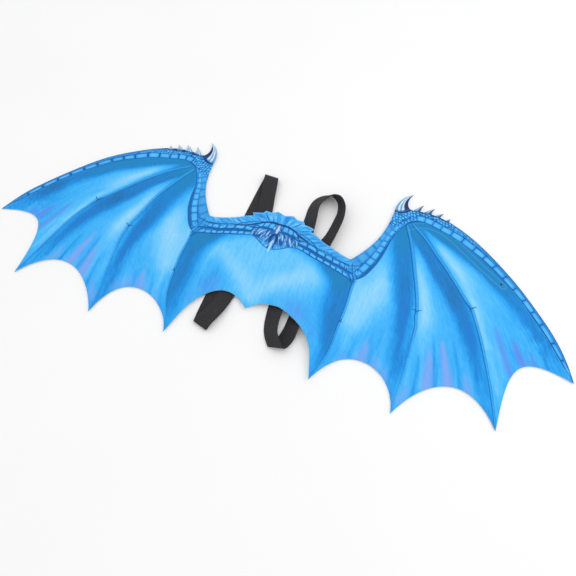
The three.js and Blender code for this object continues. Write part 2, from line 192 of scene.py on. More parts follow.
# The print sits a little off the cut: right wing inwards and left wing outwards, most in the outer bays, and the
# left wing's wrist a little low.
PRINT_OFF = [  # u, v, reach in u, reach in v, inwards on the right, outwards on the left, down on the left
    (320, 10, 75, 70, 3.4, 3.4, 0),
    (238, -20, 50, 80, 2.4, 2.4, 0),
    (222, 100, 34, 42, 2.9, 2.2, 0),
    (262, 118, 30, 42, -0.5, 2.2, 0),
    (182, 85, 24, 40, -0.8, 3.2, 0),
    (345, 130, 60, 45, -2.2, 0.8, 0),
    (190, 190, 60, 24, 0, -1.2, 3.6),
    (124, -72, 20, 34, 0, 4.2, 0),
]

# Rows of scales. Along the leading edge and arm: divisions by distance along the line, and the row's middle and
# half height off the line; along the crest: by height at each u.
LEAD_JOINTS = [10, 22, 33.5, 46.4, 61.5, 80, 99.5, 122, 141, 161, 183, 206, 228, 249, 270, 300, 326, 354]
LEAD_ROW = [(0, 5.6, 4.9), (60, 5.9, 5.2), (110, 6.0, 5.2), (160, 5.8, 4.4), (220, 5.8, 3.3), (270, 5.7, 2.9), (320, 4.2, 2.2),
            (354, 2.4, 1.2)]
LEAD_LEFT = [  # on the left wing: distance along the line, the right wing's distance, how much slimmer the row is
    (0, 0, 1.0), (90, 90, 1.0), (161, 161, 0.79), (186.6, 183, 0.79), (210.5, 206, 0.82), (235, 228, 0.84), (258, 249, 0.86), (285, 270, 0.88),
    (312, 300, 0.90), (356, 354, 0.95),
]
ARM_IN_JOINTS = [2, 15, 33, 47, 63, 76, 88, 100, 112, 124]
ARM_IN_ROW = [(0, 8.5, 4.5), (30, 8.0, 4.8), (60, 7.6, 4.2), (90, 6.0, 3.3), (130, 5.0, 2.5)]
ARM_OUT_JOINTS = [8, 30, 50, 70, 87, 101, 114, 127]
ARM_OUT_ROW = [(0, 26, 9), (40, 22, 8), (60, 19.5, 6.8), (80, 16.2, 5.6), (100, 13.5, 4.8), (130, 13.0, 4.6)]
ROW_1_JOINTS = [31, 38.5, 53, 69.5, 83, 95, 107, 115, 121]
ROW_1 = [(30, 89.5, 3.6), (40, 85, 3.5), (53, 82, 3.4), (62, 80.4, 3.2), (70, 77.2, 3.2), (83, 73, 3.3), (95, 69, 3.0),
         (107, 68, 3.0), (122, 66.5, 3.2)]
ROW_2_JOINTS = [39.5, 50, 60.5, 72.5, 83.5, 95, 104, 115, 123]
ROW_2 = [(38, 75, 2.5), (50, 72.2, 2.7), (60, 69.2, 3.0), (72, 65.5, 2.9), (83, 61.7, 2.7), (95, 57.7, 2.7), (105, 56, 2.8),
         (115, 54, 2.8), (124, 51.6, 3.0)]
ROW_0_JOINTS = [7.2, 16.4, 25, 33]
ROW_0 = [(7, 100.6, 5.2), (16, 100.2, 5.0), (25, 98.3, 4.0), (33, 95.2, 2.8)]

# Ink: each line is its points with the half width there.
NAVY_LINES = [
    [(0, 106.6, 2.0), (8, 107.2, 1.8), (16, 106.6, 1.5), (25, 103, 1.3), (33, 98, 1.4), (42, 92.6, 1.4), (50, 88.6, 1.1), (60, 84.9, 0.9),
     (70, 82.4, 0.7), (80, 80.3, 0.6), (90, 76.9, 0.6), (100, 73.5, 0.6), (112, 72, 0.8), (126, 71.5, 0.4)],
    [(2.0, 87.5, 0.8), (4.0, 83, 1.7), (5.0, 77.5, 2.0), (5.0, 72, 1.4), (4.6, 67, 0.7), (4.0, 61, 0.3)],
    [(164.5, 196, 1.4), (170, 195.6, 1.8), (176, 197.4, 2.2), (182, 201.4, 2.6), (187, 206, 2.0)],
    [(188, 206.5, 1.6), (193, 205.6, 0.9), (199, 206.4, 0.6), (206, 207, 2.2), (209, 207.4, 1.8), (215, 207.6, 0.5), (221, 207.4, 0.9),
     (226, 206.8, 2.3), (230, 206.4, 1.2), (235, 206, 0.7), (240, 204.8, 2.0), (245, 203.6, 1.8), (250, 202.8, 0.9), (256, 201, 1.1),
     (266, 197.6, 0.6)],
]
BLUE_LINES = [
    [(24, 103.8, 0.6), (34, 101.6, 0.7), (44, 97.6, 0.7), (54, 92.6, 0.8), (62, 88, 0.9), (67, 83, 0.6)],
    [(36, 80, 1.6), (48, 77.3, 2.2), (60, 74.8, 2.6), (72, 71.2, 2.8), (84, 66.8, 2.8), (96, 63.2, 2.2), (108, 62, 2.0),
     (120, 59.5, 2.0), (130, 58, 1.2)],
    [(6, 92.6, 1.0), (14, 92.6, 1.2), (22, 91.6, 1.3), (30, 90, 1.5), (38, 86.5, 1.4), (46, 86.5, 0.8)],
    [(37, 72.2, 0.6), (50, 69, 0.8), (60, 65.5, 1.0), (72, 62, 1.0), (84, 58.5, 1.0), (96, 54.5, 1.0), (106, 52.3, 0.9),
     (118, 49.7, 0.9), (127, 46.5, 0.9), (133, 40, 0.5)],
    [(4, 57, 0.6), (12, 60.6, 0.8), (20, 65.1, 0.8), (28, 69.6, 0.6), (37, 72, 0.5)],
    [(139, 51, 1.6), (145, 58, 2.2), (150, 67, 2.4), (154, 76, 2.4), (158.5, 87, 2.2), (162, 99, 2.0), (165, 111, 1.9),
     (167.5, 122, 1.6), (170, 134, 1.1), (173, 144, 0.8), (177, 154, 0.7), (182, 165, 0.7), (187, 173, 0.7)],
    [(187, 173, 0.8), (191, 178.5, 1.2), (196, 183, 1.6), (204, 186.8, 1.4), (214, 188, 0.9), (226, 186, 0.7), (242, 181, 0.6),
     (260, 175.5, 0.5), (278, 168.5, 0.5), (297, 158, 0.5), (313, 148.5, 0.6), (330, 136, 0.7), (347, 121.5, 0.7),
     (366, 105.4, 0.7), (382.2, 89.6, 0.8), (396.2, 74.1, 0.9), (409.3, 58.5, 1.0), (421.4, 42.9, 1.0), (434.4, 23.9, 0.9), (447.2, 4.8, 0.7)],
    [(200, 199.5, 0.6), (214, 199.8, 0.7), (228, 196.8, 0.6), (243, 192.2, 0.7), (260, 187.2, 0.8), (278, 181, 0.8),
     (297, 170.5, 0.8), (314, 159, 0.7), (331, 146, 0.6), (350, 129.5, 0.5), (368, 112, 0.4)],
    # creases at the elbow
    [(121, 83, 0.5), (124, 77, 0.6), (125, 72, 0.6)], [(125, 72, 0.6), (127.5, 66, 0.7), (129, 60, 0.6)],
    [(129, 71, 0.5), (132, 65, 0.6), (133, 60, 0.5)], [(133, 70, 0.5), (136, 65, 0.6), (137.5, 60, 0.5)],
    [(120, 58, 0.7), (125, 54, 0.9), (130, 47, 0.9), (133.5, 38, 0.7)],
    [(127, 59, 0.6), (131, 54, 0.8), (134, 47, 0.8), (136, 38, 0.6)],
    [(134, 58, 0.6), (137, 54, 0.8), (138, 49, 0.6)], [(117, 70, 0.5), (119, 64, 0.6), (118, 58, 0.5)],
    [(20.5, 108.5, 0.6), (24.5, 113, 1.0), (30, 119.5, 0.8)],
    # ticks at the knuckles
    [(304, 61.5, 0.4), (309, 58.5, 0.8), (312.5, 54.5, 1.0), (313.5, 49.5, 0.4)], [(312.5, 54.5, 0.9), (317.5, 58.5, 0.8), (320.5, 61, 0.3)],
    [(231, 25.5, 0.4), (235, 27, 0.7), (237.5, 24.5, 0.9), (240.5, 26.5, 0.9), (245.5, 28.5, 0.4)], [(237.5, 25, 0.7), (238.5, 20, 0.4)],
    [(129.5, -31, 0.3), (132.5, -28.5, 0.9), (134.5, -24, 0.4)], [(132.5, -28.5, 0.8), (137.5, -29.5, 0.3)],
]
FAINT_LINES = [
    [(126, 73, 1.0), (134, 74.5, 1.3), (138, 79, 1.6), (142, 86, 1.6), (147, 94, 1.5), (151, 103, 1.6), (155, 113, 1.7),
     (159, 124, 1.5), (162.5, 135, 1.4), (166, 146, 1.4), (169, 156, 1.1)],
    [(7, 109, 0.6), (8.5, 116, 0.9), (11, 128, 0.5)], [(3, 111, 0.3), (3.5, 117, 0.6), (4, 124, 0.2)],
    [(13, 109, 0.4), (16, 116, 0.7), (21, 124, 0.4)], [(29, 107, 0.4), (35, 112, 0.7), (42, 116.5, 0.4)],
    [(34, 103.5, 0.5), (42, 107.5, 0.8), (49, 109.5, 0.6)], [(46, 100, 0.4), (53, 103, 0.7), (60, 103.5, 0.4)],
    [(52, 96, 0.4), (60, 97.5, 0.7), (67, 98.5, 0.4)], [(62, 90, 0.4), (72, 92.5, 0.7), (82, 92, 0.4)],
    [(74, 85, 0.4), (84, 87, 0.6), (94, 86, 0.3)], [(90, 80, 0.4), (99, 81.5, 0.5), (108, 80.5, 0.3)],
    [(24, 106.5, 0.3), (28, 110, 0.5), (33, 115, 0.3)], [(40, 99, 0.3), (46, 101.5, 0.5), (52, 101.5, 0.3)],
    [(136, 101, 0.5), (141, 99, 1.0), (146, 94, 0.6)], [(146, 118, 0.5), (150, 115.5, 1.0), (154, 111, 0.6)],
    [(152.5, 133.5, 0.6), (156.5, 131, 1.0), (160, 126, 0.6)], [(158, 147, 0.5), (161.5, 144.5, 0.8), (164, 140, 0.5)],
]
WHITE_LINES = [
    [(0, 105.5, 0.6), (0, 102, 1.6), (0.2, 96, 2.0), (0.3, 91, 1.5), (0.3, 87.8, 0.2)],
    [(0, 77, 0.3), (0, 72, 1.4), (0, 66, 2.0), (0, 58, 1.7), (0, 50, 0.9), (0, 45, 0.1)],
    [(10.5, 91.5, 0.2), (12, 86, 1.1), (13.2, 81, 1.0), (14.2, 77.5, 0.1)], [(22, 89, 0.2), (24.2, 84, 1.2), (26.4, 79, 1.0), (28, 75, 0.1)],
    [(35, 85, 0.2), (37, 80, 1.0), (39, 74.5, 0.1)], [(19.5, 79.5, 0.1), (20.8, 75, 0.9), (22, 70, 0.1)],
    [(29.5, 82, 0.1), (30.6, 78, 0.7), (31.6, 73.5, 0.1)], [(7, 86, 0.1), (7.8, 82, 0.8), (8.4, 78.5, 0.1)],
    [(16.5, 86, 0.1), (17.6, 81.5, 0.8), (18.6, 77, 0.1)], [(122, 82.5, 0.2), (123.2, 79, 0.5), (124.5, 75.5, 0.1)],
]
# The toothed patch under the crest's line, and the line the tufts grow from.
THROAT = [(-12, 107), (8, 107.4), (16, 106.4), (25, 102.8), (33, 97.6), (39, 93.4), (40, 86), (39, 74), (35, 72.2), (28, 70),
          (20, 65.5), (12, 61), (5, 57.5), (0, 55.5), (-12, 50)]
TUFT_ROOT = [(0, 108), (8, 108), (16, 107.4), (25, 104), (33, 99.5), (42, 95), (52, 91), (62, 87), (72, 84), (84, 81.5),
             (96, 78), (110, 74.5), (124, 73)]
# Washes and streaks down to the hems: points of the middle line, each with the half width there, and a strength.
VIOLET = [
    ([(281, -2, 1.4), (289, -33, 4.0), (296, -60, 6.0), (299, -76, 7.0)], 1.0),
    ([(267, -22, 1.8), (270, -50, 4.6), (271, -84, 7.5)], 0.9),
    ([(319, -42, 3.0), (326, -74, 6.0)], 0.55),
    ([(249, -84, 3.0), (239, -116, 7.0)], 0.5),
    ([(180, -36, 1.6), (178, -58, 5.0), (175, -78, 9.0)], 0.75),
    ([(194, -56, 3.0), (198, -80, 7.5)], 0.5),
    ([(150, -64, 4.0), (147, -88, 8.0)], 0.35),
    ([(209, -66, 3.0), (212, -92, 6.0)], 0.4),
]
INDIGO = [
    ([(348, 44, 2.2), (362, 10, 4.2), (378, -28, 5.0)], 0.9),
    ([(374, 30, 2.2), (383, 10, 4.4), (393, -8, 5.5)], 1.2),
    ([(399, 18, 2.5), (407, -3, 5.5)], 0.8),
    ([(58, -14, 9.0), (70, -44, 15.0)], 0.5),
    ([(86, -44, 4.0), (92, -66, 7.0)], 0.3),
]
DEEP_STREAKS = [
    ([(269, 0, 1.4), (276, -40, 2.2), (282, -82, 2.8)], 0.75),
    ([(299, -4, 1.3), (308, -40, 2.2), (315, -74, 2.8)], 0.8),
    ([(254, -34, 1.8), (256, -64, 2.6), (255, -102, 3.0)], 0.7),
    ([(187, -40, 2.0), (188, -62, 3.0), (187, -80, 3.5)], 0.45),
    ([(162, -36, 2.0), (160, -60, 3.0), (157, -84, 3.5)], 0.4),
    ([(140, -40, 2.0), (136, -74, 3.0), (128, -100, 3.0)], 0.35),
    ([(331, -30, 2.0), (338, -70, 3.0)], 0.5),
    ([(368, 22, 1.6), (384, -8, 2.6)], 0.5),
    ([(391, 20, 1.6), (399, -2, 2.4)], 0.45),
    ([(413, 20, 2.0), (424, -2, 3.0)], 0.4),
]
LIGHT_STREAKS = [
    # beside bone A, on its outer side
    ([(304, 80, 4.0), (319, 60, 5.0), (327.5, 40, 5.0), (336, 20, 5.0), (345, 0, 4.5)], 1.1),
    ([(341, 8, 4.0), (352, -20, 4.5), (358, -40, 4.5), (364.5, -62, 3.5)], 0.6),
    ([(259, -20, 2.0), (263, -88, 3.0)], 0.5), ([(285, -48, 1.4), (288, -78, 2.2)], 0.5), ([(306, -40, 1.6), (309, -72, 2.4)], 0.45),
    ([(345, -50, 2.4), (358, -90, 2.6)], 0.3), ([(244, -40, 2.6), (243, -88, 3.0)], 0.5), ([(168, -48, 2.0), (166, -78, 3.0)], 0.35),
    ([(203, -50, 2.2), (204, -80, 3.0)], 0.35), ([(357, 6, 2.0), (370, -36, 2.6)], 0.4), ([(388, 22, 1.6), (396, -4, 2.2)], 0.35),
    ([(150, -30, 3.0), (146, -66, 4.0)], 0.3), ([(424, 40, 1.2), (434, 26, 1.6), (445, 8, 1.8), (454, -7, 1.6)], 0.9),
]
# Places a little lighter or darker than the bays around them; the left wing's u is negative.
TOUCHES = [  # u, v, reach in u, reach in v, how much lighter
    (-66, 0, 20, 32, -0.38), (60, 48, 22, 16, 0.15), (45, 10, 22, 12, 0.14), (-30, 40, 25, 25, 0.10), (-406, 46, 26, 32, -0.48),
    (113, -110, 12, 20, 0.26), (-113, -110, 12, 20, 0.20), (232, -100, 12, 28, 0.25), (92, 52, 14, 22, -0.25), (-92, 52, 14, 22, -0.25),
    (-318, 62, 16, 24, -0.30), (284, 70, 12, 22, -0.16), (-284, 70, 12, 22, -0.20),
]
PEBBLES = [(161, 166), (170, 163), (180, 170), (188, 177), (195, 184.5), (200, 190), (201, 198.5), (214, 199.8), (228, 196.8),
           (243, 192.2), (260, 187.2), (278, 181), (302, 168), (304, 175.5), (286, 188), (264, 197.5), (252, 203), (225, 207.5), (190, 207), (186, 205.5),
           (181, 200), (176, 196.5), (161, 194)]


# ---------------------------------------------------------------- small geometry helpers
def smooth(t):
    s = np.clip(t, 0, 1)
    return s * s * (3 - 2 * s)


def lie(u, v):
    """Where points of the flat cut lie on the floor."""
    x, y = u.copy(), v.copy()
    for u0, v0, reach_u, reach_v, dx, dy in SHIFTS:
        share = np.exp(-(((u - u0) / reach_u) ** 2) - ((v - v0) / reach_v) ** 2)
        x += dx * share
        y += dy * share
    return x, y


def underside(x, y):
    """Height of the felt's underside over the floor."""
    i = np.clip(np.searchsorted(FOLDS[:, 0], x, side="right") - 1, 0, len(FOLDS) - 2)
    t = smooth((x - FOLDS[i, 0]) / (FOLDS[i + 1, 0] - FOLDS[i, 0]))
    hem, middle, top = (FOLDS[i, k] * (1 - t) + FOLDS[i + 1, k] * t for k in (1, 2, 3))
    wing = np.abs(x) >= HUMP_HALF
    hem, middle, top = np.where(wing, 0, hem), np.where(wing, 0, middle), np.where(wing, WING_TOP, top)
    low = hem + (middle - hem) * smooth((y - HEM_Y) / (MIDDLE_Y - HEM_Y))
    high = middle + (top - middle) * smooth((y - MIDDLE_Y) / (TOP_Y - MIDDLE_Y))
    z = np.where(y < MIDDLE_Y, low, high)
    out = (np.abs(x) - HUMP_HALF) / (WING_TIP_X - HUMP_HALF)
    return np.where(wing, z * (1 - smooth((out - 0.75) / 0.25)), z)


def cubic(a, b, c, d, n):
    t = np.linspace(0, 1, n + 1)[:, None]
    a, b, c, d = (np.array(p, float) for p in (a, b, c, d))
    return a * (1 - t) ** 3 + 3 * b * t * (1 - t) ** 2 + 3 * c * t * t * (1 - t) + d * t**3


def resample(points, step):
    points = np.asarray(points, float)
    lengths = np.hypot(*np.diff(points[:, :2], axis=0).T)
    s = np.concatenate([[0], np.cumsum(lengths)])
    n = max(1, int(round(s[-1] / step)))
    at = np.linspace(0, s[-1], n + 1)
    return np.stack([np.interp(at, s, points[:, k]) for k in range(points.shape[1])], 1)


def curve(points, step=3.0):
    """A smooth line through points, every column of which is carried along, with a point about every step mm."""
    p = np.asarray(points, float)
    ext = np.vstack([2 * p[0] - p[1], p, 2 * p[-1] - p[-2]])
    out = []
    for i in range(1, len(ext) - 2):
        p0, p1, p2, p3 = ext[i - 1 : i + 3]
        n = max(2, int(np.hypot(*(p2 - p1)[:2]) / step) + 1)
        t = np.linspace(0, 1, n, endpoint=False)[:, None]
        out.append(0.5 * (2 * p1 + (p2 - p0) * t + (2 * p0 - 5 * p1 + 4 * p2 - p3) * t**2 + (3 * p1 - p0 - 3 * p2 + p3) * t**3))
    return np.vstack([*out, p[-1:]])


def near(u, v, line):
    """Distance to a line, the distance along it, the side (+1 on the left of its direction), and any width column."""
    line = np.asarray(line, float)
    best = np.full(u.shape, 1e9)
    along, side, width = np.zeros_like(u), np.zeros_like(u), np.zeros_like(u)
    start = 0.0
    for a, b in zip(line[:-1], line[1:]):
        dx, dy = b[0] - a[0], b[1] - a[1]
        length = math.hypot(dx, dy)
        if length < 1e-9:
            continue
        t = np.clip(((u - a[0]) * dx + (v - a[1]) * dy) / length**2, 0, 1)
        ex, ey = u - a[0] - t * dx, v - a[1] - t * dy
        d = np.hypot(ex, ey)
        w = a[2] + (b[2] - a[2]) * t if line.shape[1] > 2 else 0
        closer = d - w < best - width
        best, width = np.where(closer, d, best), np.where(closer, w, width)
        along = np.where(closer, start + t * length, along)
        side = np.where(closer, np.sign(dx * ey - dy * ex), side)
        start += length
    return best, along, side, width


def ink(u, v, lines):
    """Distance outside the nearest of some drawn lines of their own widths; negative on a line."""
    best = np.full(u.shape, 60.0)
    for line in lines:
        d, _, _, w = near(u, v, curve(line, 2.0))
        best = np.minimum(best, d - w)
    return best


def inside(u, v, polygon):
    found = np.zeros(u.shape, bool)
    p = np.asarray(polygon, float)
    for a, b in zip(p, np.roll(p, -1, 0)):
        cross = (a[1] > v) != (b[1] > v)
        with np.errstate(divide="ignore", invalid="ignore"):
            at = (b[0] - a[0]) * (v - a[1]) / (b[1] - a[1]) + a[0]
        found ^= cross & (u < at)
    return found


def table(rows, x):
    """The other columns of a table at x, between its rows."""
    rows = np.asarray(rows, float)
    return [np.interp(x, rows[:, 0], rows[:, k]) for k in range(1, rows.shape[1])]


# ---------------------------------------------------------------- the cut
def half_outline():
    """The right half of the cut, from the hem's middle point to the crest's middle notch, and its named stretches."""
    runs, at = [], np.array(HEM_POINT, float)

    def add(name, points, step):
        nonlocal at
        points = resample(points, step)
        runs.append((name, points))
        at = points[-1]

    def hollow(to, depth):
        to = np.array(to, float)
        d = to - at
        side = np.array([-d[1], d[0]]) / np.hypot(*d) * depth
        middle = (at + to) / 2 + side
        t = np.linspace(0, 1, 13)[:, None]
        return at * (1 - t) ** 2 + 2 * middle * t * (1 - t) + to * t * t

    for name, h1, h2, to in EDGES:
        add(name, cubic(at, h1, h2, to, 160), 1.5)
    for outer, tip, inner, depth in SPIKES:
        add("ridge", [at, outer], 1.2)
        add("spike", hollow(tip, depth), 0.9)
        add("spike", hollow(inner, -depth), 0.9)
    add("ridge", [at, CLAW_OUTER[0]], 1.2)
    add("claw", cubic(*CLAW_OUTER, 60), 0.9)
    add("claw", cubic(*CLAW_INNER, 60), 0.9)
    add("arm", cubic(at, *ARM, 120), 1.4)
    add("shoulder", cubic(at, *SHOULDER, 60), 1.4)
    for tip, notch in TUFTS:
        add("tuft", [at, tip], 1.0)
        add("tuft", [at, notch], 1.0)
    return runs


RUNS = half_outline()


def stretch(*names):
    return np.vstack([p if i == 0 else p[1:] for i, p in enumerate([p for n, p in RUNS if n in names])])


def whole_outline():
    right = np.vstack([RUNS[0][1], *[p[1:] for _, p in RUNS[1:]]])
    left = right[1:-1][::-1] * (-1, 1)
    return np.vstack([right, left])


OUTLINE = whole_outline()
BEVEL = 0.3


def bevel_depth(ring):
    """The bevel's depth at each point of a ring, less towards a sharp tip or notch."""
    step = np.hypot(*(np.roll(ring, -1, 0) - ring).T)
    depth = np.full(len(ring), BEVEL)
    path = step.copy()
    for k in range(2, 14):
        path = path + np.roll(step, 1 - k)
        straight = np.hypot(*(np.roll(ring, -k, 0) - ring).T)
        limit = np.where(straight < 0.8 * path, 0.28 * straight, BEVEL)
        for m in range(k + 1):
            depth = np.minimum(depth, np.roll(limit, m))
    return depth[:, None]


def inset(ring, depth):
    ahead, behind = np.roll(ring, -1, 0), np.roll(ring, 1, 0)
    a, b = ring - behind, ahead - ring
    a /= np.hypot(a[:, 0], a[:, 1])[:, None]
    b /= np.hypot(b[:, 0], b[:, 1])[:, None]
    na, nb = np.stack([-a[:, 1], a[:, 0]], 1), np.stack([-b[:, 1], b[:, 0]], 1)
    n = na + nb
    length = np.hypot(n[:, 0], n[:, 1])[:, None]
    n /= np.maximum(length, 1e-6)
    cosine = np.maximum((n * na).sum(1)[:, None], 0.6)
    return ring + n * depth / cosine


def hexes(step, low, high):
    rows = []
    for j, y in enumerate(np.arange(low[1], high[1], step * math.sqrt(3) / 2)):
        x = np.arange(low[0], high[0], step) + (j % 2) * step / 2
        rows.append(np.stack([x, np.full_like(x, y)], 1))
    return np.vstack(rows)


def triangulate(ring, hole, inner):
    """Triangles of the sheet inside a ring and outside a hole, through inner points."""
    points = np.vstack([ring, hole, inner])
    out = delaunay_2d_cdt([Vector(p) for p in points], [], [list(range(len(ring))), list(range(len(ring), len(ring) + len(hole)))], 1, 1e-7, True)
    if len(out[0]) != len(points):
        raise RuntimeError(f"the outline meets itself: {len(points)} points became {len(out[0])}")
    tris = np.array([f for f in out[2]])
    back = np.array([ids[0] for ids in out[3]])
    tris = back[tris]
    middle = points[tris].mean(1)
    spans = np.flatnonzero((tris < len(ring)).all(1))
    outside = np.zeros(len(tris), bool)
    outside[spans] = ~inside(middle[spans, 0], middle[spans, 1], ring)
    in_hole = ((tris >= len(ring)) & (tris < len(ring) + len(hole))).all(1)
    tris = tris[~outside & ~in_hole]
    a, b, c = (points[tris[:, k]] for k in range(3))
    area = (b[:, 0] - a[:, 0]) * (c[:, 1] - a[:, 1]) - (b[:, 1] - a[:, 1]) * (c[:, 0] - a[:, 0])
    tris[area < 0] = tris[area < 0][:, ::-1]
    return points, tris


KNUCKLES = [(312, 55), (238, 25), (133, -28)]
INNER = np.vstack([curve(CREST_LOW), curve(ARM_LINE)[1:], curve(LEAD_LINE)[1:]])
BAND_ZONE = np.vstack([INNER, [(480, -12), (480, 300), (-9, 300), (-9, 55)]])


def ring_gap(ring, points):
    """Distance from each point to the ring's nearest corner."""
    tree = KDTree(len(ring))
    for i, p in enumerate(ring):
        tree.insert((p[0], p[1], 0), i)
    tree.balance()
    return np.array([tree.find((p[0], p[1], 0))[2] for p in points])


def sheet_points(ring):
    low, high = ring.min(0), ring.max(0)

    def kept(p, gap):
        p = p[inside(p[:, 0], p[:, 1], ring)]
        clear = np.hypot(p[:, 0] - EYELET_AT[0], p[:, 1] - EYELET_AT[1]) > EYELET_R + gap
        return p[(ring_gap(ring, p) > gap) & clear]

    def fine(p):
        u, v = np.abs(p[:, 0]), p[:, 1]
        found = inside(u, v, BAND_ZONE) | (near(u, v, INNER)[0] < 3.5)
        for a, b in KNUCKLES:
            found |= np.hypot(u - a, v - b) < 11
        return found

    coarse = hexes(2.5, low, high)
    coarse = coarse[~fine(coarse)]
    dense = hexes(1.05, low, high)
    dense = dense[fine(dense)]
    return np.vstack([kept(coarse, 1.6), kept(dense, 0.8)])


# ---------------------------------------------------------------- felt panel
def relief(u, v, x, y):
    """How the felt stands off its smooth lay: the welt over each stay, slack ripples and pleats beside the left band.
    """
    stay = near(np.abs(u), v, curve([(a, b) for a, b in STAY_LINE]))[0]
    welt = 0.5 * (1 - smooth((stay - 3.2) / 2.6)) * np.where(u > 0, 1.0, 0.55)
    ripple = (
        0.22 * (1 + np.sin(u / 17.0 + 0.6 * np.sin(v / 31.0)) * np.sin(v / 43.0 + 1.3))
        + 0.16 * (1 + np.sin((u * 0.8 + v * 0.6) / 11.0 + 1.1 * np.sin(u / 37.0)))
    )
    bandside = np.exp(-(((u + 50) / 14) ** 2)) + 0.7 * np.exp(-(((u + 78) / 12) ** 2))
    pleats = 0.16 * (1 + np.sin(u / 1.9 + 0.5 * np.sin(v / 21.0))) * bandside * smooth((70 - v) / 60) * smooth((v + 50) / 30)
    return welt + ripple + pleats


def print_fields(u_signed, v):
    """The design's distances at each vertex."""
    f = {"flat_u": u_signed, "flat_v": v}
    u = np.abs(u_signed)
    edge_u = u
    edge_v, on_right = v, u_signed > 0
    slip_u, slip_v = np.zeros_like(u), np.zeros_like(u)
    for a, b, ra, rb, inwards, outwards, down in PRINT_OFF:
        share_off = np.exp(-(((u - a) / ra) ** 2) - ((v - b) / rb) ** 2)
        slip_u += np.where(on_right, inwards, -outwards) * share_off
        slip_v += np.where(on_right, 0.0, down) * share_off
    u, v = u + slip_u, v + slip_v
    arm_c = np.vstack([curve(ARM_LINE)[::-1], curve(BONE_C)[1:]])
    lines = {"c": arm_c, "b": curve(BONE_B), "a": curve(BONE_A), "e": curve(LEAD_LINE)}
    dist, along, side, share = {}, {}, {}, {}
    bowed = np.where(on_right, 3.4, 0.0) * smooth((20 - v) / 24) * smooth((v + 122) / 60)  # the right wing's second bone
    for key, line in lines.items():
        dist[key], along[key], side[key], _ = near(u, v, line)
        share[key] = along[key] / np.hypot(*np.diff(line, axis=0).T).sum()
    bone_b, _, side["b"], _ = near(u - bowed, v, lines["b"])
    bay = np.where(side["c"] < 0, 0, np.where(side["b"] < 0, 1, np.where(side["a"] < 0, 2, 3)))

    def between(inner, outer, rows, softer=0.0):
        """How light the print is between two bones, from -1 to 1, and how far across that is."""
        t = dist[inner] / np.maximum(dist[inner] + dist[outer], 1e-6)
        s = share[inner] * (1 - t) + share[outer] * t
        foot, palest, where, reach, begins, dark, tail = table(rows, s)
        near_side = foot + (palest - foot) * smooth(t / where)
        light = np.where(t < where, near_side, palest * np.exp(-(((t - where) / reach) ** 2)))
        depth = dark + (tail - dark) * smooth((t - 0.855) / 0.1)
        soft = 1 + softer * smooth((0.45 - s) / 0.25)
        share_dark = smooth((t - begins + 0.13 * soft) / (0.24 * soft))
        return light * (1 - share_dark) - depth * share_dark, t

    d, _, s, _ = near(u, v, curve(MIDDLE_SHADE))
    to_dark = d * s
    streak_d, _, streak_side, _ = near(u, v, curve(MIDDLE_STREAK))
    above = streak_side > 0
    reach = np.where(above, 15, 12 + 0.22 * u)
    middle = np.where(above, 0.5, 0.04) + np.where(above, 0.42, 0.88) * np.exp(-((streak_d / reach) ** 2))
    depth = 0.96 - 0.10 * smooth((16 - dist["c"]) / 14)
    share_dark = smooth((to_dark + 20) / 33)
    centre = middle * (1 - share_dark) - depth * share_dark
    shade_1, t_1 = between("c", "b", BAY_CB, 1.3)
    shade_2, t_2 = between("b", "a", BAY_BA)
    shade_3, t_3 = between("a", "e", BAY_AE)
    f["shade"] = np.select([bay == 0, bay == 1, bay == 2], [centre, shade_1, shade_2], shade_3)
    for a, b, ra, rb, more in TOUCHES:
        f["shade"] = f["shade"] + more * np.exp(-(((u_signed - a) / ra) ** 2) - ((v - b) / rb) ** 2)
    f["across"] = np.select([bay == 0, bay == 1, bay == 2], [u * 0.74, 100 + 100 * t_1, 200 + 100 * t_2], 300 + 100 * t_3)
    f["down"] = np.where(bay == 0, 178 - v, np.hypot(u - WRIST[0], v - WRIST[1]))

    # bones: signed distance over the shaft's local half width, + on the outer side
    bone, bone_ink = np.full(u.shape, 40.0), np.ones_like(u)
    for key, wide, thin in (("c", 1.9, 1.0), ("b", 2.9, 1.3), ("a", 2.6, 1.3)):
        part = smooth((share["c"] - 0.5) / 0.5) if key == "c" else share[key]
        scaled = (bone_b if key == "b" else dist[key]) / (wide + (thin - wide) * part) * np.where(side[key] == 0, 1, side[key])
        if key == "c":
            scaled = np.where(share["c"] < 0.43, 40.0, scaled)
        nearer = np.abs(scaled) < np.abs(bone)
        fade = 0.62 * smooth((-6 - v) / 30) if key == "b" else 0.0  # the second bone's lines fade below its knuckle
        bone, bone_ink = np.where(nearer, scaled, bone), np.where(nearer, 1 - fade, bone_ink)
    f["bone"], f["bone_ink"] = bone, bone_ink
    # painted shade: where stripes of light and dark are painted over the felt's pleats beside the left band
    f["pleat_shading"] = np.exp(-(((u_signed + 62) / 26) ** 2) - ((v + 18) / 30) ** 2)
    f["pleat_shading"] += 0.35 * np.exp(-(((u_signed + 54) / 24) ** 2) - ((v - 42) / 22) ** 2)
    f["hatch"] = np.exp(-(((u - 412) / 26) ** 2) - ((v - 28) / 34) ** 2)
    f["deep_blue"] = smooth((u - 150) / 60) * smooth((70 - v) / 60)
    f["teal"] = np.exp(-(((u - 212) / 42) ** 2) - ((v - 168) / 26) ** 2) + np.exp(-(((u - 112) / 22) ** 2) - ((v - 40) / 24) ** 2)
    pocket = near(edge_u, edge_v, curve(STAY_LINE))[0]
    f["teal"] = np.minimum(1, f["teal"] + 0.9 * np.exp(-((pocket / 15) ** 2)) + 0.8 * np.exp(-(((u - 184) / 18) ** 2) - ((v - 138) / 36) ** 2))
    f["hem"] = near(edge_u, edge_v, stretch("bay 4", "bay 3", "bay 2", "bay 1"))[0]

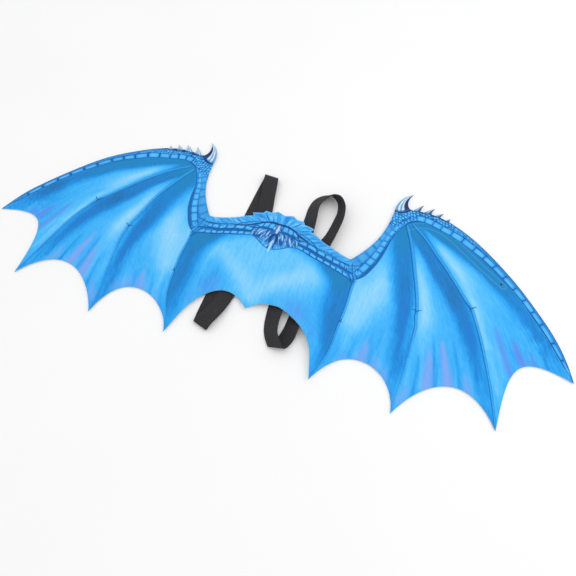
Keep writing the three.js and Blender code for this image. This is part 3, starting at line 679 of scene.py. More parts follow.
    for name, rows in (("violet", VIOLET), ("indigo", INDIGO), ("deep", DEEP_STREAKS), ("light", LIGHT_STREAKS)):
        wash = np.zeros_like(u)
        for points, strength in rows:
            d, s, _, w = near(u, v, curve(points))
            wash = np.maximum(wash, strength * np.exp(-0.9 * (d / w) ** 2) * smooth((s + 4) / 26))
        f[name] = wash

    band = near(u, v, INNER)[0]
    f["band"] = np.where(inside(u, v, BAND_ZONE), band, -band)

    # rows of scales: which scale along the row, and how far off the row's middle in half heights
    count, off, seed = np.zeros_like(u), np.full(u.shape, 6.0), np.zeros_like(u)

    def row(index, along_row, joints, offset, middle_row, half, where):
        nonlocal count, off, seed
        q = np.where(where, np.abs(offset - middle_row) / half, 6.0)
        joints = np.asarray(joints, float)
        q = np.where((along_row < joints[0]) | (along_row > joints[-1]), 6.0, q)
        n = np.interp(along_row, joints, np.arange(len(joints)))
        better = q < off
        count, seed = np.where(better, n, count), np.where(better, index, seed)
        off = np.minimum(off, q)

    in_band = f["band"] > 0
    middle_row, half = table(LEAD_ROW, along["e"])
    lead_along, slimmer = table(LEAD_LEFT, along["e"])
    half = np.where(on_right, half, half * slimmer)
    row(1, np.where(on_right, along["e"], lead_along), LEAD_JOINTS, dist["e"], middle_row, half, in_band & (side["e"] > 0) & (u > 196) & (on_right | (along["e"] < 314)))
    arm_d, arm_s, arm_side, _ = near(u, v, curve(ARM_LINE))
    middle_row, half = table(ARM_IN_ROW, arm_s)
    on_arm = in_band & (arm_side > 0) & (u > 124)
    row(2, arm_s, ARM_IN_JOINTS, arm_d, middle_row, half, on_arm)
    middle_row, half = table(ARM_OUT_ROW, arm_s)
    row(3, arm_s - 0.35 * (arm_d - middle_row), ARM_OUT_JOINTS, arm_d, middle_row, half, on_arm & (v > 76))
    sway = 0.55 * np.sin(0.39 * u_signed) + 0.35 * np.sin(0.83 * u_signed + 1.3)
    for index, joints, rows in ((4, ROW_1_JOINTS, ROW_1), (5, ROW_2_JOINTS, ROW_2), (6, ROW_0_JOINTS, ROW_0)):
        middle_row, half = table(rows, u)
        row(index, u + (v - middle_row) * 0.12, joints, v + sway, middle_row, half, in_band & (u < 126))
    f["scale_at"], f["scale_off"], f["scale_row"] = count, off, seed

    edge_d = near(u, v, np.vstack([curve(PEBBLES), [PEBBLES[0]]]))[0]
    f["pebble"] = np.where(inside(u, v, PEBBLES), edge_d, -edge_d)
    edge_d = near(u, v, np.vstack([curve(THROAT), [THROAT[0]]]))[0]
    f["throat"] = np.where(inside(u, v, THROAT), edge_d, -edge_d)

    # claws and spikes: 0 to 1 across from the inner to the outer edge, 0 to 1 from foot to tip
    hx, hy, horn = np.zeros_like(u), np.zeros_like(u), np.full(u.shape, -30.0)
    edges = [(cubic(*CLAW_INNER, 24)[::-1], cubic(*CLAW_OUTER, 24), CLAW_FOOT, 0.0)]
    spikes = [points for name, points in RUNS if name == "spike"]
    for outer_edge, inner_edge in zip(spikes[::2], spikes[1::2]):
        edges.append((inner_edge[::-1], outer_edge, np.array([inner_edge[-1], outer_edge[0]]), -1.6))
    for inner_edge, outer_edge, base, sunk in edges:
        polygon = np.vstack([inner_edge, outer_edge[::-1], np.asarray(base, float)[-2:0:-1]])
        grown = polygon + (polygon - polygon.mean(0)) * 0.04
        d_base = near(edge_u, edge_v, base)[0]
        d_in, d_out = near(edge_u, edge_v, inner_edge)[0], near(edge_u, edge_v, outer_edge)[0]
        length = np.hypot(*np.diff(inner_edge, axis=0).T).sum()
        within = inside(edge_u, edge_v, grown)
        reach = np.where(on_right, 1.6, 2.8) if sunk else 1.6
        here = within | (np.minimum(np.minimum(d_in, d_out), d_base) < reach)
        value = np.where(here, d_base * np.where(within, 1, -1), -30)
        sunk = np.where(on_right, sunk, 1.7 * sunk)
        take = here & (value - sunk > horn)
        hx = np.where(take, d_in / np.maximum(d_in + d_out, 1e-6), hx)
        hy = np.where(take, np.clip(d_base / length, 0, 1), hy)
        horn = np.where(take, value - sunk, horn)
    f["horn"], f["horn_x"], f["horn_y"] = horn, hx, hy

    f["navy"] = ink(u, v, NAVY_LINES) - np.where(~on_right & (u > 196) & (v > 190), 0.7, 0)
    f["blue"] = ink(u, v, BLUE_LINES)
    f["faint"] = ink(u, v, FAINT_LINES)
    f["white"] = ink(u, v, WHITE_LINES)
    f["welt"] = pocket
    f["lead_edge"] = near(edge_u, edge_v, stretch("outer leading edge", "inner leading edge"))[0]
    f["tuft_edge"] = near(edge_u, edge_v, stretch("tuft", "shoulder", "arm"))[0]
    d, s, tuft_side, _ = near(u, v, curve(TUFT_ROOT))
    f["tuft_s"], f["tuft_d"] = s, d * tuft_side
    return f


def mesh_object(name, points, faces, materials, face_material=None, smooth_shade=True):
    me = bpy.data.meshes.new(name)
    me.from_pydata([tuple(p) for p in points], [], [tuple(int(i) for i in f) for f in faces])
    for m in materials:
        me.materials.append(m)
    if face_material is not None:
        me.polygons.foreach_set("material_index", np.asarray(face_material, np.int32))
    if smooth_shade:
        me.polygons.foreach_set("use_smooth", np.ones(len(me.polygons), bool))
    me.update()
    ob = bpy.data.objects.new(name, me)
    bpy.context.scene.collection.objects.link(ob)
    return ob


def set_field(ob, name, values):
    a = ob.data.attributes.new(name, "FLOAT", "POINT")
    a.data.foreach_set("value", np.asarray(values, np.float32))


def felt_panel(materials):
    ring = inset(OUTLINE, bevel_depth(OUTLINE))
    t = np.linspace(0, 2 * np.pi, 20, endpoint=False)
    hole = np.array(EYELET_AT) + EYELET_R * np.stack([np.cos(t), np.sin(t)], 1)
    top, top_tris = triangulate(ring, hole, sheet_points(ring))
    inner = hexes(9.0, ring.min(0), ring.max(0))
    inner = inner[inside(inner[:, 0], inner[:, 1], ring)]
    inner = inner[(ring_gap(ring, inner) > 2.5) & (np.hypot(inner[:, 0] - EYELET_AT[0], inner[:, 1] - EYELET_AT[1]) > 4)]
    low, low_tris = triangulate(ring, hole, inner)

    def placed(flat, height, raised):
        x, y = lie(flat[:, 0].copy(), flat[:, 1].copy())
        z = underside(x, y) + height
        if raised:
            z = z + relief(flat[:, 0], flat[:, 1], x, y)
        return np.stack([x + PLACE[0], y + PLACE[1], z], 1) * MM

    soft = relief(OUTLINE[:, 0], OUTLINE[:, 1], None, None)
    soft_low = np.minimum(relief(low[:, 0], low[:, 1], None, None), 0.75)
    n, r, h = len(top), len(OUTLINE), len(hole)
    upper = placed(OUTLINE, FELT - BEVEL, False)
    upper[:, 2] += soft * MM
    lower = placed(OUTLINE, BEVEL, False)
    lower[:, 2] += np.minimum(soft, 0.75) * MM
    bottom = placed(low, 0, False)
    bottom[:, 2] += soft_low * MM
    points = np.vstack([placed(top, FELT, True), upper, lower, bottom])
    faces = [tuple(f) for f in top_tris]
    kinds = [0] * len(faces)
    i = np.arange(r)
    j = (i + 1) % r
    for a, b, kind in ((0, n, 0), (n, n + r, 1), (n + r, n + 2 * r, 1)):
        faces += list(zip(a + i, b + i, b + j, a + j))
        kinds += [kind] * r
    base = n + 2 * r
    faces += [(base + f[0], base + f[2], base + f[1]) for f in low_tris]
    kinds += [2] * len(low_tris)
    k = np.arange(h)
    m = (k + 1) % h
    faces += list(zip(r + k, r + m, base + r + m, base + r + k))
    kinds += [1] * h
    ob = mesh_object("felt_panel", points, faces, materials, kinds)

    flat = np.vstack([top, OUTLINE, OUTLINE, low])
    shown = len(top) + len(OUTLINE)
    for name, values in print_fields(flat[:shown, 0], flat[:shown, 1]).items():
        set_field(ob, name, np.concatenate([values, np.zeros(len(flat) - shown)]))

    # a map for the print: the two wings one above the other, the plain back small in a corner
    uv = ob.data.uv_layers.new(name="OFBake")
    loops = np.zeros(len(ob.data.loops), np.int32)
    ob.data.loops.foreach_get("vertex_index", loops)
    starts = np.zeros(len(ob.data.polygons), np.int32)
    ob.data.polygons.foreach_get("loop_start", starts)
    counts = np.zeros(len(ob.data.polygons), np.int32)
    ob.data.polygons.foreach_get("loop_total", counts)
    face_of = np.repeat(np.arange(len(starts)), counts)
    kind = np.asarray(kinds)[face_of]
    p = flat[loops]
    mean_u = np.bincount(face_of, p[:, 0], len(starts)) / counts
    right = (mean_u >= 0)[face_of]
    coords = np.empty((len(loops), 2))
    coords[:, 0] = 0.03 + 0.955 * np.abs(p[:, 0]) / 461
    tall = 0.405 * (p[:, 1] + 137) / 379
    coords[:, 1] = np.where(right, 0.585, 0.165) + tall
    back = kind == 2
    coords[back, 0] = 0.03 + 0.35 * (p[back, 0] + 461) / 922
    coords[back, 1] = 0.01 + 0.13 * (p[back, 1] + 137) / 379
    wall = np.flatnonzero(kind == 1)
    along = np.zeros(len(flat))
    order = np.arange(r) / r
    along[n : n + r] = along[n + r : n + 2 * r] = along[base : base + r] = order
    deep = np.zeros(len(flat))
    deep[n : n + r], deep[n + r : n + 2 * r] = 1.0, 0.4
    coords[wall, 0] = 0.42 + 0.55 * along[loops[wall]]
    coords[wall, 1] = 0.02 + 0.03 * deep[loops[wall]]
    uv.data.foreach_set("uv", coords.astype(np.float32).ravel())
    return ob


# ---------------------------------------------------------------- materials
def srgb(r, g, b):
    c = np.array([r, g, b]) / 255
    lin = np.where(c <= 0.04045, c / 12.92, ((c + 0.055) / 1.055) ** 2.4)
    return (*[float(x) for x in lin], 1.0)


class Nodes:
    """A material's node tree, written as expressions."""

    def __init__(self, name):
        self.mat = bpy.data.materials.new(name)
        self.mat.use_nodes = True
        self.tree = self.mat.node_tree
        self.tree.nodes.clear()
        self.out = self.tree.nodes.new("ShaderNodeOutputMaterial")
        self.bsdf = self.tree.nodes.new("ShaderNodeBsdfPrincipled")
        self.tree.links.new(self.bsdf.outputs[0], self.out.inputs[0])
        self.known = {}

    def put(self, socket, value):
        if isinstance(value, bpy.types.NodeSocket):
            self.tree.links.new(value, socket)
        else:
            socket.default_value = value

    def field(self, name):
        if name not in self.known:
            node = self.tree.nodes.new("ShaderNodeAttribute")
            node.attribute_name = name
            self.known[name] = node.outputs["Fac"]
        return self.known[name]

    def math(self, op, a, b=0.0, c=0.0, clamp=False):
        node = self.tree.nodes.new("ShaderNodeMath")
        node.operation, node.use_clamp = op, clamp
        for socket, value in zip(node.inputs, (a, b, c)):
            self.put(socket, value)
        return node.outputs[0]

    def add(self, a, b): return self.math("ADD", a, b)
    def sub(self, a, b): return self.math("SUBTRACT", a, b)
    def mul(self, a, b): return self.math("MULTIPLY", a, b)
    def abs(self, a): return self.math("ABSOLUTE", a)
    def max(self, a, b): return self.math("MAXIMUM", a, b)
    def min(self, a, b): return self.math("MINIMUM", a, b)

    def step(self, x, low, high):
        """0 at low, 1 at high, smooth between; low may be the greater."""
        node = self.tree.nodes.new("ShaderNodeMapRange")
        node.interpolation_type = "SMOOTHSTEP"
        flip = low > high
        self.put(node.inputs["Value"], x)
        node.inputs["From Min"].default_value, node.inputs["From Max"].default_value = (high, low) if flip else (low, high)
        node.inputs["To Min"].default_value, node.inputs["To Max"].default_value = (1.0, 0.0) if flip else (0.0, 1.0)
        return node.outputs[0]

    def mix(self, share, a, b, blend="MIX"):
        node = self.tree.nodes.new("ShaderNodeMix")
        node.data_type, node.blend_type = "RGBA", blend
        self.put(node.inputs[0], share)
        self.put(node.inputs[6], a)
        self.put(node.inputs[7], b)
        return node.outputs[2]

    def ramp(self, x, stops, mode="LINEAR"):
        node = self.tree.nodes.new("ShaderNodeValToRGB")
        node.color_ramp.interpolation = mode
        e = node.color_ramp.elements
        e[0].position, e[0].color = stops[0]
        e[1].position, e[1].color = stops[-1]
        for position, colour in stops[1:-1]:
            e.new(position).color = colour
        self.put(node.inputs[0], x)
        return node.outputs[0]

    def vec(self, x, y, z=0.0):
        node = self.tree.nodes.new("ShaderNodeCombineXYZ")
        for socket, value in zip(node.inputs, (x, y, z)):
            self.put(socket, value)
        return node.outputs[0]

    def noise(self, vector, scale=1.0, detail=2.0, rough=0.5, bend=0.0):
        node = self.tree.nodes.new("ShaderNodeTexNoise")
        self.put(node.inputs["Vector"], vector)
        for key, value in (("Scale", scale), ("Detail", detail), ("Roughness", rough), ("Distortion", bend)):
            node.inputs[key].default_value = value
        return node.outputs["Fac"]

    def cells(self, vector, scale=1.0, feature="F1", jitter=1.0):
        node = self.tree.nodes.new("ShaderNodeTexVoronoi")
        node.feature = feature
        self.put(node.inputs["Vector"], vector)
        node.inputs["Scale"].default_value = scale
        node.inputs["Randomness"].default_value = jitter
        return node

    def random(self, vector):
        node = self.tree.nodes.new("ShaderNodeTexWhiteNoise")
        self.put(node.inputs["Vector"], vector)
        return node.outputs["Value"]

    def bump(self, height, distance, strength=1.0, normal=None):
        node = self.tree.nodes.new("ShaderNodeBump")
        node.inputs["Distance"].default_value = distance
        node.inputs["Strength"].default_value = strength
        self.put(node.inputs["Height"], height)
        if normal is not None:
            self.put(node.inputs["Normal"], normal)
        return node.outputs[0]


def felt_bump(g, u, v, depth=0.00012):
    """Matted fibres: short curled strokes in two directions over a fine grain."""
    grain = g.noise(g.vec(u, v), 2.1, 3.0, 0.65)
    strokes = g.noise(g.vec(g.mul(g.add(u, v), 0.9), g.mul(g.sub(u, v), 0.16)), 1.0, 3.0, 0.6, 0.6)
    other = g.noise(g.vec(g.mul(g.add(u, v), 0.14), g.mul(g.sub(u, v), 0.8), 4.0), 1.0, 3.0, 0.6, 0.6)
    height = g.add(g.mul(grain, 0.6), g.add(g.mul(strokes, 0.5), g.mul(other, 0.5)))
    return height, g.bump(height, depth, 0.55)


LINE, NAVY, JOINT = srgb(28, 92, 166), srgb(34, 60, 114), srgb(28, 92, 168)
SHADES = [  # light and dark of the membranes, from -1.25 to 1.25
    (-1.25, (38, 114, 180)), (-1.0, (41, 127, 198)), (-0.8, (38, 135, 212)), (-0.56, (39, 148, 229)), (-0.28, (52, 167, 244)),
    (0.0, (66, 180, 252)), (0.3, (86, 191, 254)), (0.6, (110, 202, 254)), (1.0, (140, 212, 254)), (1.25, (158, 220, 255)),
]


def print_material():
    g = Nodes("printed_felt")
    u, v, across, down = (g.field(k) for k in ("flat_u", "flat_v", "across", "down"))
    bone, hem = g.field("bone"), g.field("hem")
    side = g.math("SIGN", u)
    right = g.step(u, -1.0, 1.0)
    out = g.abs(u)

    # membranes: brush strokes that run down the bays, a slanting grain and soft clouds over the light and dark
    fine = g.noise(g.vec(g.mul(across, 0.33), g.mul(down, 0.03), g.mul(side, 3)), 1.0, 3.0, 0.6)
    broad = g.noise(g.vec(g.mul(across, 0.085), g.mul(down, 0.011), g.add(g.mul(side, 3), 7)), 1.0, 2.0, 0.5)
    cloud = g.noise(g.vec(g.mul(u, 0.03), g.mul(v, 0.03), 2.0), 1.0, 3.0, 0.55)
    grain = g.noise(g.vec(g.add(g.mul(u, 0.34), g.mul(v, 0.19)), g.sub(g.mul(v, 0.07), g.mul(u, 0.04)), 6.0), 1.0, 2.0, 0.6)
    near_hem = g.step(hem, 75, 5)
    x = g.add(g.field("shade"), g.mul(g.sub(fine, 0.5), 0.74))
    x = g.add(x, g.mul(g.mul(g.sub(broad, 0.5), 0.42), g.add(g.mul(near_hem, 0.9), 0.5)))
    x = g.add(x, g.add(g.mul(g.sub(cloud, 0.5), 0.22), g.mul(g.sub(grain, 0.5), g.add(g.mul(g.field("hatch"), 0.9), 0.56))))
    # painted shade: darker and lighter stripes running down the pleats beside the left band, over their real ridges
    pleats = g.noise(g.vec(g.mul(u, 0.36), g.mul(v, 0.02), 9.0), 1.0, 2.0, 0.6)
    x = g.add(x, g.mul(g.mul(g.sub(pleats, 0.55), 1.5), g.field("pleat_shading")))
    x = g.add(x, g.sub(g.mul(g.field("light"), 0.5), g.mul(g.field("deep"), 0.62)))
    colour = g.ramp(g.math("MULTIPLY_ADD", x, 0.4, 0.5), [(at * 0.4 + 0.5, srgb(*c)) for at, c in SHADES])
    # darks turn to teal by the wrist and the elbow
    dark = g.mul(g.step(x, -0.35, -0.95), g.field("teal"))
    colour = g.mix(g.mul(dark, 0.75), colour, srgb(38, 137, 192))
    dark = g.mul(g.step(x, -0.55, -0.95), g.field("deep_blue"))
    colour = g.mix(g.mul(dark, 0.7), colour, srgb(40, 128, 214))

    # bones: a shaft between a strong inner and a weak outer line
    firm = g.mul(g.add(g.mul(right, 0.34), 0.66), g.field("bone_ink"))
    colour = g.mix(g.mul(g.mul(g.step(g.abs(bone), 1.1, 0.6), 0.74), g.field("bone_ink")), colour, srgb(56, 164, 242))
    colour = g.mix(g.mul(g.mul(g.step(g.abs(g.add(bone, 1.0)), 0.56, 0.14), 0.78), firm), colour, srgb(26, 90, 160))
    colour = g.mix(g.mul(g.mul(g.step(g.abs(g.sub(bone, 1.0)), 0.46, 0.10), 0.56), firm), colour, srgb(34, 110, 186))

    # pocket over the stay: pale lines along both edges of the welt, much stronger on the right wing
    welt_lines = g.step(g.abs(g.sub(g.field("welt"), 4.7)), 1.0, 0.3)
    welt_lines = g.mul(welt_lines, g.step(out, 186, 206))
    colour = g.mix(g.mul(welt_lines, g.add(g.mul(right, 0.30), 0.08)), colour, srgb(104, 184, 222))

    # skin of the arm, crest and leading edge
    strokes = g.noise(g.vec(g.mul(u, 0.22), g.mul(v, 0.16), 3.0), 1.0, 4.0, 0.62, 0.8)
    skin = g.mix(g.step(strokes, 0.40, 0.66), srgb(48, 148, 230), srgb(82, 187, 252))
    skin = g.mix(g.mul(g.step(g.field("lead_edge"), 10, 3), 0.62), skin, srgb(42, 132, 210))
    skin = g.mix(g.mul(g.step(g.field("faint"), 1.3, -0.6), 0.8), skin, srgb(34, 110, 194))

    # tufts: strokes that fan out of the crest's line
    root, rise = g.field("tuft_s"), g.field("tuft_d")
    lean = g.mul(rise, g.step(root, 2, 46))
    hairs = g.noise(g.vec(g.mul(g.sub(root, g.mul(lean, 1.1)), 0.21), g.mul(rise, 0.05), side), 1.0, 3.0, 0.6)
    tuft = g.mix(g.step(hairs, 0.38, 0.56), srgb(46, 146, 230), srgb(80, 185, 254))
    tuft = g.mix(g.mul(g.step(hairs, 0.55, 0.68), 0.75), tuft, srgb(136, 210, 255))
    tuft = g.mix(g.mul(g.step(g.field("faint"), 0.7, -0.5), 0.6), tuft, srgb(36, 120, 208))
    # painted highlight: the tufts turn paler along the cut edge of the tufts, shoulder and arm
    tuft = g.mix(g.mul(g.step(g.field("tuft_edge"), 3.5, 0.4), 0.4), tuft, srgb(130, 208, 255))
    skin = g.mix(g.mul(g.step(rise, 0.3, 2.0), g.step(out, 124, 112)), skin, tuft)

    # throat: a dark patch, paler below, with upright flecks
    flecks = g.noise(g.vec(g.mul(g.add(out, g.mul(v, 0.42)), 0.40), g.mul(v, 0.075), g.add(g.mul(side, 2), 5)), 1.0, 3.0, 0.62)
    throat = g.mix(g.step(v, 63, 78), srgb(66, 166, 244), srgb(44, 116, 194))
    throat = g.mix(g.mul(g.step(flecks, 0.53, 0.63), 0.9), throat, srgb(138, 206, 250))
    throat = g.mix(g.mul(g.step(flecks, 0.48, 0.37), 0.9), throat, srgb(30, 76, 150))
    skin = g.mix(g.step(g.field("throat"), -0.6, 0.8), skin, throat)

    # scales
    off, at, row = g.field("scale_off"), g.field("scale_at"), g.field("scale_row")
    cell = g.math("FLOOR", at)
    part = g.mul(g.abs(g.sub(g.sub(at, cell), 0.5)), 2.0)
    luck = g.random(g.vec(cell, row, side))
    # a scale is a rounded block, pale in its middle, in a dark bed
    ends = g.add(g.mul(g.mul(g.step(row, 1.6, 1.4), g.sub(1.0, right)), 0.10), 1.10)  # wider joints on the left wing's edge
    rounded = g.math("POWER", g.add(g.math("POWER", g.mul(part, ends), 7.0), g.math("POWER", off, 7.0)), 1 / 7)
    face = g.mix(g.step(rounded, 0.45, 1.0), srgb(96, 195, 255), srgb(62, 168, 246))
    face = g.mix(g.mul(luck, 0.35), face, srgb(50, 152, 232))
    face = g.mix(g.mul(g.step(strokes, 0.46, 0.30), 0.3), face, srgb(46, 140, 224))
    bed = g.mul(g.step(off, 1.40, 1.12), g.step(off, 5.0, 4.0))
    plain = g.step(g.abs(g.sub(row, 3.0)), 0.5, 0.4)  # the arm's outer row is barely drawn
    skin = g.mix(g.mul(bed, g.sub(0.92, g.mul(plain, 0.46))), skin, JOINT)
    rounded = g.mul(rounded, g.add(g.mul(g.step(row, 3.5, 3.6), 0.09), 1.0))  # the crest's scales stand further apart
    skin = g.mix(g.mul(g.step(rounded, 1.07, 0.95), g.sub(1.0, g.mul(plain, 0.45))), skin, face)

    place = g.vec(g.add(g.mul(out, 0.205), g.mul(v, 0.04)), g.add(g.mul(v, 0.20), g.mul(out, 0.045)), side)
    stone = g.cells(place, 1.0, "F1", 0.5).outputs["Distance"]
    between = g.cells(place, 1.0, "DISTANCE_TO_EDGE", 0.5).outputs["Distance"]
    pebble = g.mix(g.step(stone, 0.20, 0.70), srgb(94, 194, 255), srgb(58, 162, 240))
    pebble = g.mix(g.mul(g.step(between, 0.18, 0.07), 0.9), pebble, srgb(28, 94, 172))
    skin = g.mix(g.mul(g.step(g.field("pebble"), -0.8, 1.0), g.add(g.mul(g.step(out, 285, 255), 0.5), 0.5)), skin, pebble)
    colour = g.mix(g.step(g.field("band"), -0.5, 0.5), colour, skin)

    colour = g.mix(g.mul(g.field("violet"), 0.82), colour, srgb(142, 168, 241))
    colour = g.mix(g.math("MULTIPLY", g.field("indigo"), 0.76, clamp=True), colour, srgb(98, 140, 236))

    # ink
    colour = g.mix(g.mul(g.step(g.field("blue"), 0.6, -0.5), 0.9), colour, LINE)
    colour = g.mix(g.mul(g.step(g.field("lead_edge"), 2.3, 1.0), g.sub(0.95, g.mul(right, 0.20))), colour, srgb(32, 92, 146))

    colour = g.mix(g.mul(g.step(g.field("navy"), 0.6, -0.5), 0.92), colour, NAVY)

    # claws and spikes
    hx, hy, horn = g.field("horn_x"), g.field("horn_y"), g.field("horn")
    spike = g.step(out, 189.6, 190.4)
    streaks = g.math("SINE", g.add(g.mul(hx, 23.0), g.mul(g.noise(g.vec(g.mul(hx, 5.0), g.mul(hy, 2.0), out), 1.0, 1.0), 4.0)))
    ivory = g.mix(g.step(streaks, 0.35, -0.45), srgb(222, 240, 251), srgb(104, 170, 214))
    ivory = g.mix(g.mul(g.step(hy, 0.30, 0.75), 0.8), ivory, srgb(206, 222, 236))
    ivory = g.mix(g.mul(spike, g.add(g.mul(right, 0.46), 0.04)), ivory, srgb(118, 182, 222))
    ivory = g.mix(g.step(hx, 0.14, 0.03), ivory, srgb(110, 168, 208))
    stop = g.mix(right, g.step(hy, 0.56, 0.40), g.step(hy, 1.02, 0.95))
    back = g.mul(g.step(g.add(hx, g.mul(spike, 0.14)), 0.54, 0.70), g.mix(spike, stop, g.mix(right, (0.12, 0.12, 0.12, 1.0), (0.85, 0.85, 0.85, 1.0))))
    ivory = g.mix(back, ivory, srgb(46, 58, 108))
    ivory = g.mix(g.mul(g.step(horn, 5.0, 0.2), g.add(g.mul(right, 0.5), 0.4)), ivory, srgb(56, 92, 152))
    colour = g.mix(g.step(horn, -0.6, 0.6), colour, ivory)

    colour = g.mix(g.mul(g.step(g.field("white"), 0.35, -0.6), 0.85), colour, srgb(186, 227, 252))

    # fibres that took less ink
    height, normal = felt_bump(g, u, v)
    lint = g.noise(g.vec(g.mul(u, 1.6), g.mul(v, 1.6), 8.0), 1.0, 2.0, 0.6)
    colour = g.mix(g.mul(g.step(lint, 0.56, 0.76), 0.16), colour, srgb(190, 226, 250))
    g.put(g.bsdf.inputs["Base Color"], colour)
    g.put(g.bsdf.inputs["Roughness"], g.math("ADD", 0.82, g.mul(height, 0.12), clamp=True))
    g.bsdf.inputs["Specular IOR Level"].default_value = 0.04
    g.put(g.bsdf.inputs["Normal"], normal)
    return g.mat


def object_coords(g):
    node = g.tree.nodes.new("ShaderNodeTexCoord")
    split = g.tree.nodes.new("ShaderNodeSeparateXYZ")
    g.tree.links.new(node.outputs["Object"], split.inputs[0])
    return [g.mul(split.outputs[k], 1000.0) for k in range(3)]


def raw_felt_material(name, base, dark):
    g = Nodes(name)
    x, y, z = object_coords(g)
    height, normal = felt_bump(g, x, y, 0.0002)
    fibre = g.noise(g.vec(g.mul(x, 0.9), g.mul(y, 0.9), g.mul(z, 2.5)), 1.0, 4.0, 0.65, 0.5)
    colour = g.mix(g.step(fibre, 0.35, 0.7), dark, base)
    g.put(g.bsdf.inputs["Base Color"], colour)
    g.put(g.bsdf.inputs["Roughness"], g.math("ADD", 0.82, g.mul(height, 0.12), clamp=True))
    g.bsdf.inputs["Specular IOR Level"].default_value = 0.2
    g.put(g.bsdf.inputs["Normal"], normal)
    return g.mat


def elastic_material():
    g = Nodes("woven_elastic")
    s, t = g.field("band_s"), g.field("band_t")
    ribs = g.math("SINE", g.mul(t, 2 * math.pi / 1.25))
    picks = g.math("SINE", g.add(g.mul(s, 2 * math.pi / 0.95), g.mul(g.math("FLOOR", g.mul(t, 1 / 1.25)), math.pi)))
    weave = g.add(g.mul(ribs, 0.6), g.mul(picks, 0.4))
    wear = g.noise(g.vec(g.mul(s, 0.05), g.mul(t, 0.25)), 1.0, 3.0, 0.6)
    slub = g.noise(g.vec(g.mul(s, 0.5), g.mul(t, 2.2)), 1.0, 2.0, 0.5)
    colour = g.mix(g.step(weave, -0.8, 0.9), srgb(27, 27, 30), srgb(56, 56, 60))
    colour = g.mix(g.mul(g.step(wear, 0.45, 0.75), 0.35), colour, srgb(66, 66, 70))
    colour = g.mix(g.mul(g.step(slub, 0.58, 0.75), 0.3), colour, srgb(24, 24, 27))
    g.put(g.bsdf.inputs["Base Color"], colour)
    g.put(g.bsdf.inputs["Roughness"], g.math("ADD", 0.62, g.mul(wear, 0.2), clamp=True))
    g.bsdf.inputs["Specular IOR Level"].default_value = 0.3
    g.put(g.bsdf.inputs["Normal"], g.bump(weave, 0.00016, 0.7))
    return g.mat


def stay_material():
    g = Nodes("stay_plastic")
    x, y, z = object_coords(g)
    grain = g.noise(g.vec(g.mul(x, 0.5), g.mul(y, 0.5), z), 1.0, 4.0, 0.6)
    colour = g.mix(grain, srgb(16, 17, 19), srgb(34, 35, 38))
    g.put(g.bsdf.inputs["Base Color"], colour)
    g.put(g.bsdf.inputs["Roughness"], g.math("ADD", 0.42, g.mul(grain, 0.2), clamp=True))
    g.put(g.bsdf.inputs["Normal"], g.bump(grain, 0.00008, 0.5))
    return g.mat


# ---------------------------------------------------------------- bands and stays
def closed_curve(points, per_row):
    """A closed centripetal Catmull-Rom curve, with per_row points for each given point."""
    p = np.asarray(points, float)
    n = len(p)
    out = []
    for i in range(n):
        p0, p1, p2, p3 = p[(i - 1) % n], p[i], p[(i + 1) % n], p[(i + 2) % n]
        d0, d1, d2 = (max(math.dist(a, b) ** 0.5, 1e-4) for a, b in ((p0, p1), (p1, p2), (p2, p3)))
        m1 = ((p1 - p0) / d0 - (p2 - p0) / (d0 + d1) + (p2 - p1) / d1) * d1
        m2 = ((p2 - p1) / d1 - (p3 - p1) / (d1 + d2) + (p3 - p2) / d2) * d1
        for k in range(per_row):
            t = k / per_row
            out.append(p1 * (2 * t**3 - 3 * t**2 + 1) + m1 * (t**3 - 2 * t**2 + t) + p2 * (3 * t**2 - 2 * t**3) + m2 * (t**3 - t**2))
    return np.array(out)


def elastic_band(name, rows, material):
    rows = np.array(rows, float)
    lower = rows[:, :3]
    yaw, lean = np.radians(rows[:, 3]), np.radians(rows[:, 4])
    across = np.stack([np.cos(lean) * np.cos(yaw), np.cos(lean) * np.sin(yaw), np.sin(lean)], 1)
    per_row = 12
    a, b = closed_curve(lower, per_row), closed_curve(lower + across * BAND_WIDTH, per_row)
    floor = BAND_THICK / 2 + 0.02
    a[:, 2], b[:, 2] = np.maximum(a[:, 2], floor), np.maximum(b[:, 2], floor)
    middle = (a + b) / 2
    along = np.roll(middle, -1, 0) - np.roll(middle, 1, 0)
    along /= np.linalg.norm(along, axis=1)[:, None]
    across = b - a
    across /= np.linalg.norm(across, axis=1)[:, None]
    through = np.cross(along, across)
    through /= np.linalg.norm(through, axis=1)[:, None]
    length = np.concatenate([[0], np.cumsum(np.linalg.norm(np.diff(np.vstack([middle, middle[:1]]), axis=0), axis=1))])
    half, thick, soft = BAND_WIDTH / 2, BAND_THICK / 2, 0.35
    section = []  # across, through: two faces with rounded selvedges
    for w in np.linspace(-half + soft, half - soft, 13):
        section.append((w, thick))
    section += [(half - 0.1, thick - 0.12), (half, thick - soft), (half, -thick + soft), (half - 0.1, -thick + 0.12)]
    for w in np.linspace(half - soft, -half + soft, 13):
        section.append((w, -thick))
    section += [(-half + 0.1, -thick + 0.12), (-half, -thick + soft), (-half, thick - soft), (-half + 0.1, thick - 0.12)]
    section = np.array(section)
    n, m = len(middle), len(section)
    points = (middle[:, None, :] + across[:, None, :] * section[None, :, :1] + through[:, None, :] * section[None, :, 1:]).reshape(-1, 3)
    faces = []
    for i in range(n):
        j = (i + 1) % n
        for k in range(m):
            q = (k + 1) % m
            faces.append((i * m + k, i * m + q, j * m + q, j * m + k))
    ob = mesh_object(name, (points + (*PLACE, 0)) * MM, faces, [material])
    turn_out(ob)
    turns = round(length[-1] / 0.95)  # whole picks round the loop, so that the weave closes
    s = length[:-1] * (turns * 0.95 / length[-1])
    set_field(ob, "band_s", np.repeat(s, m))
    set_field(ob, "band_t", np.tile(section[:, 0], n))
    return ob


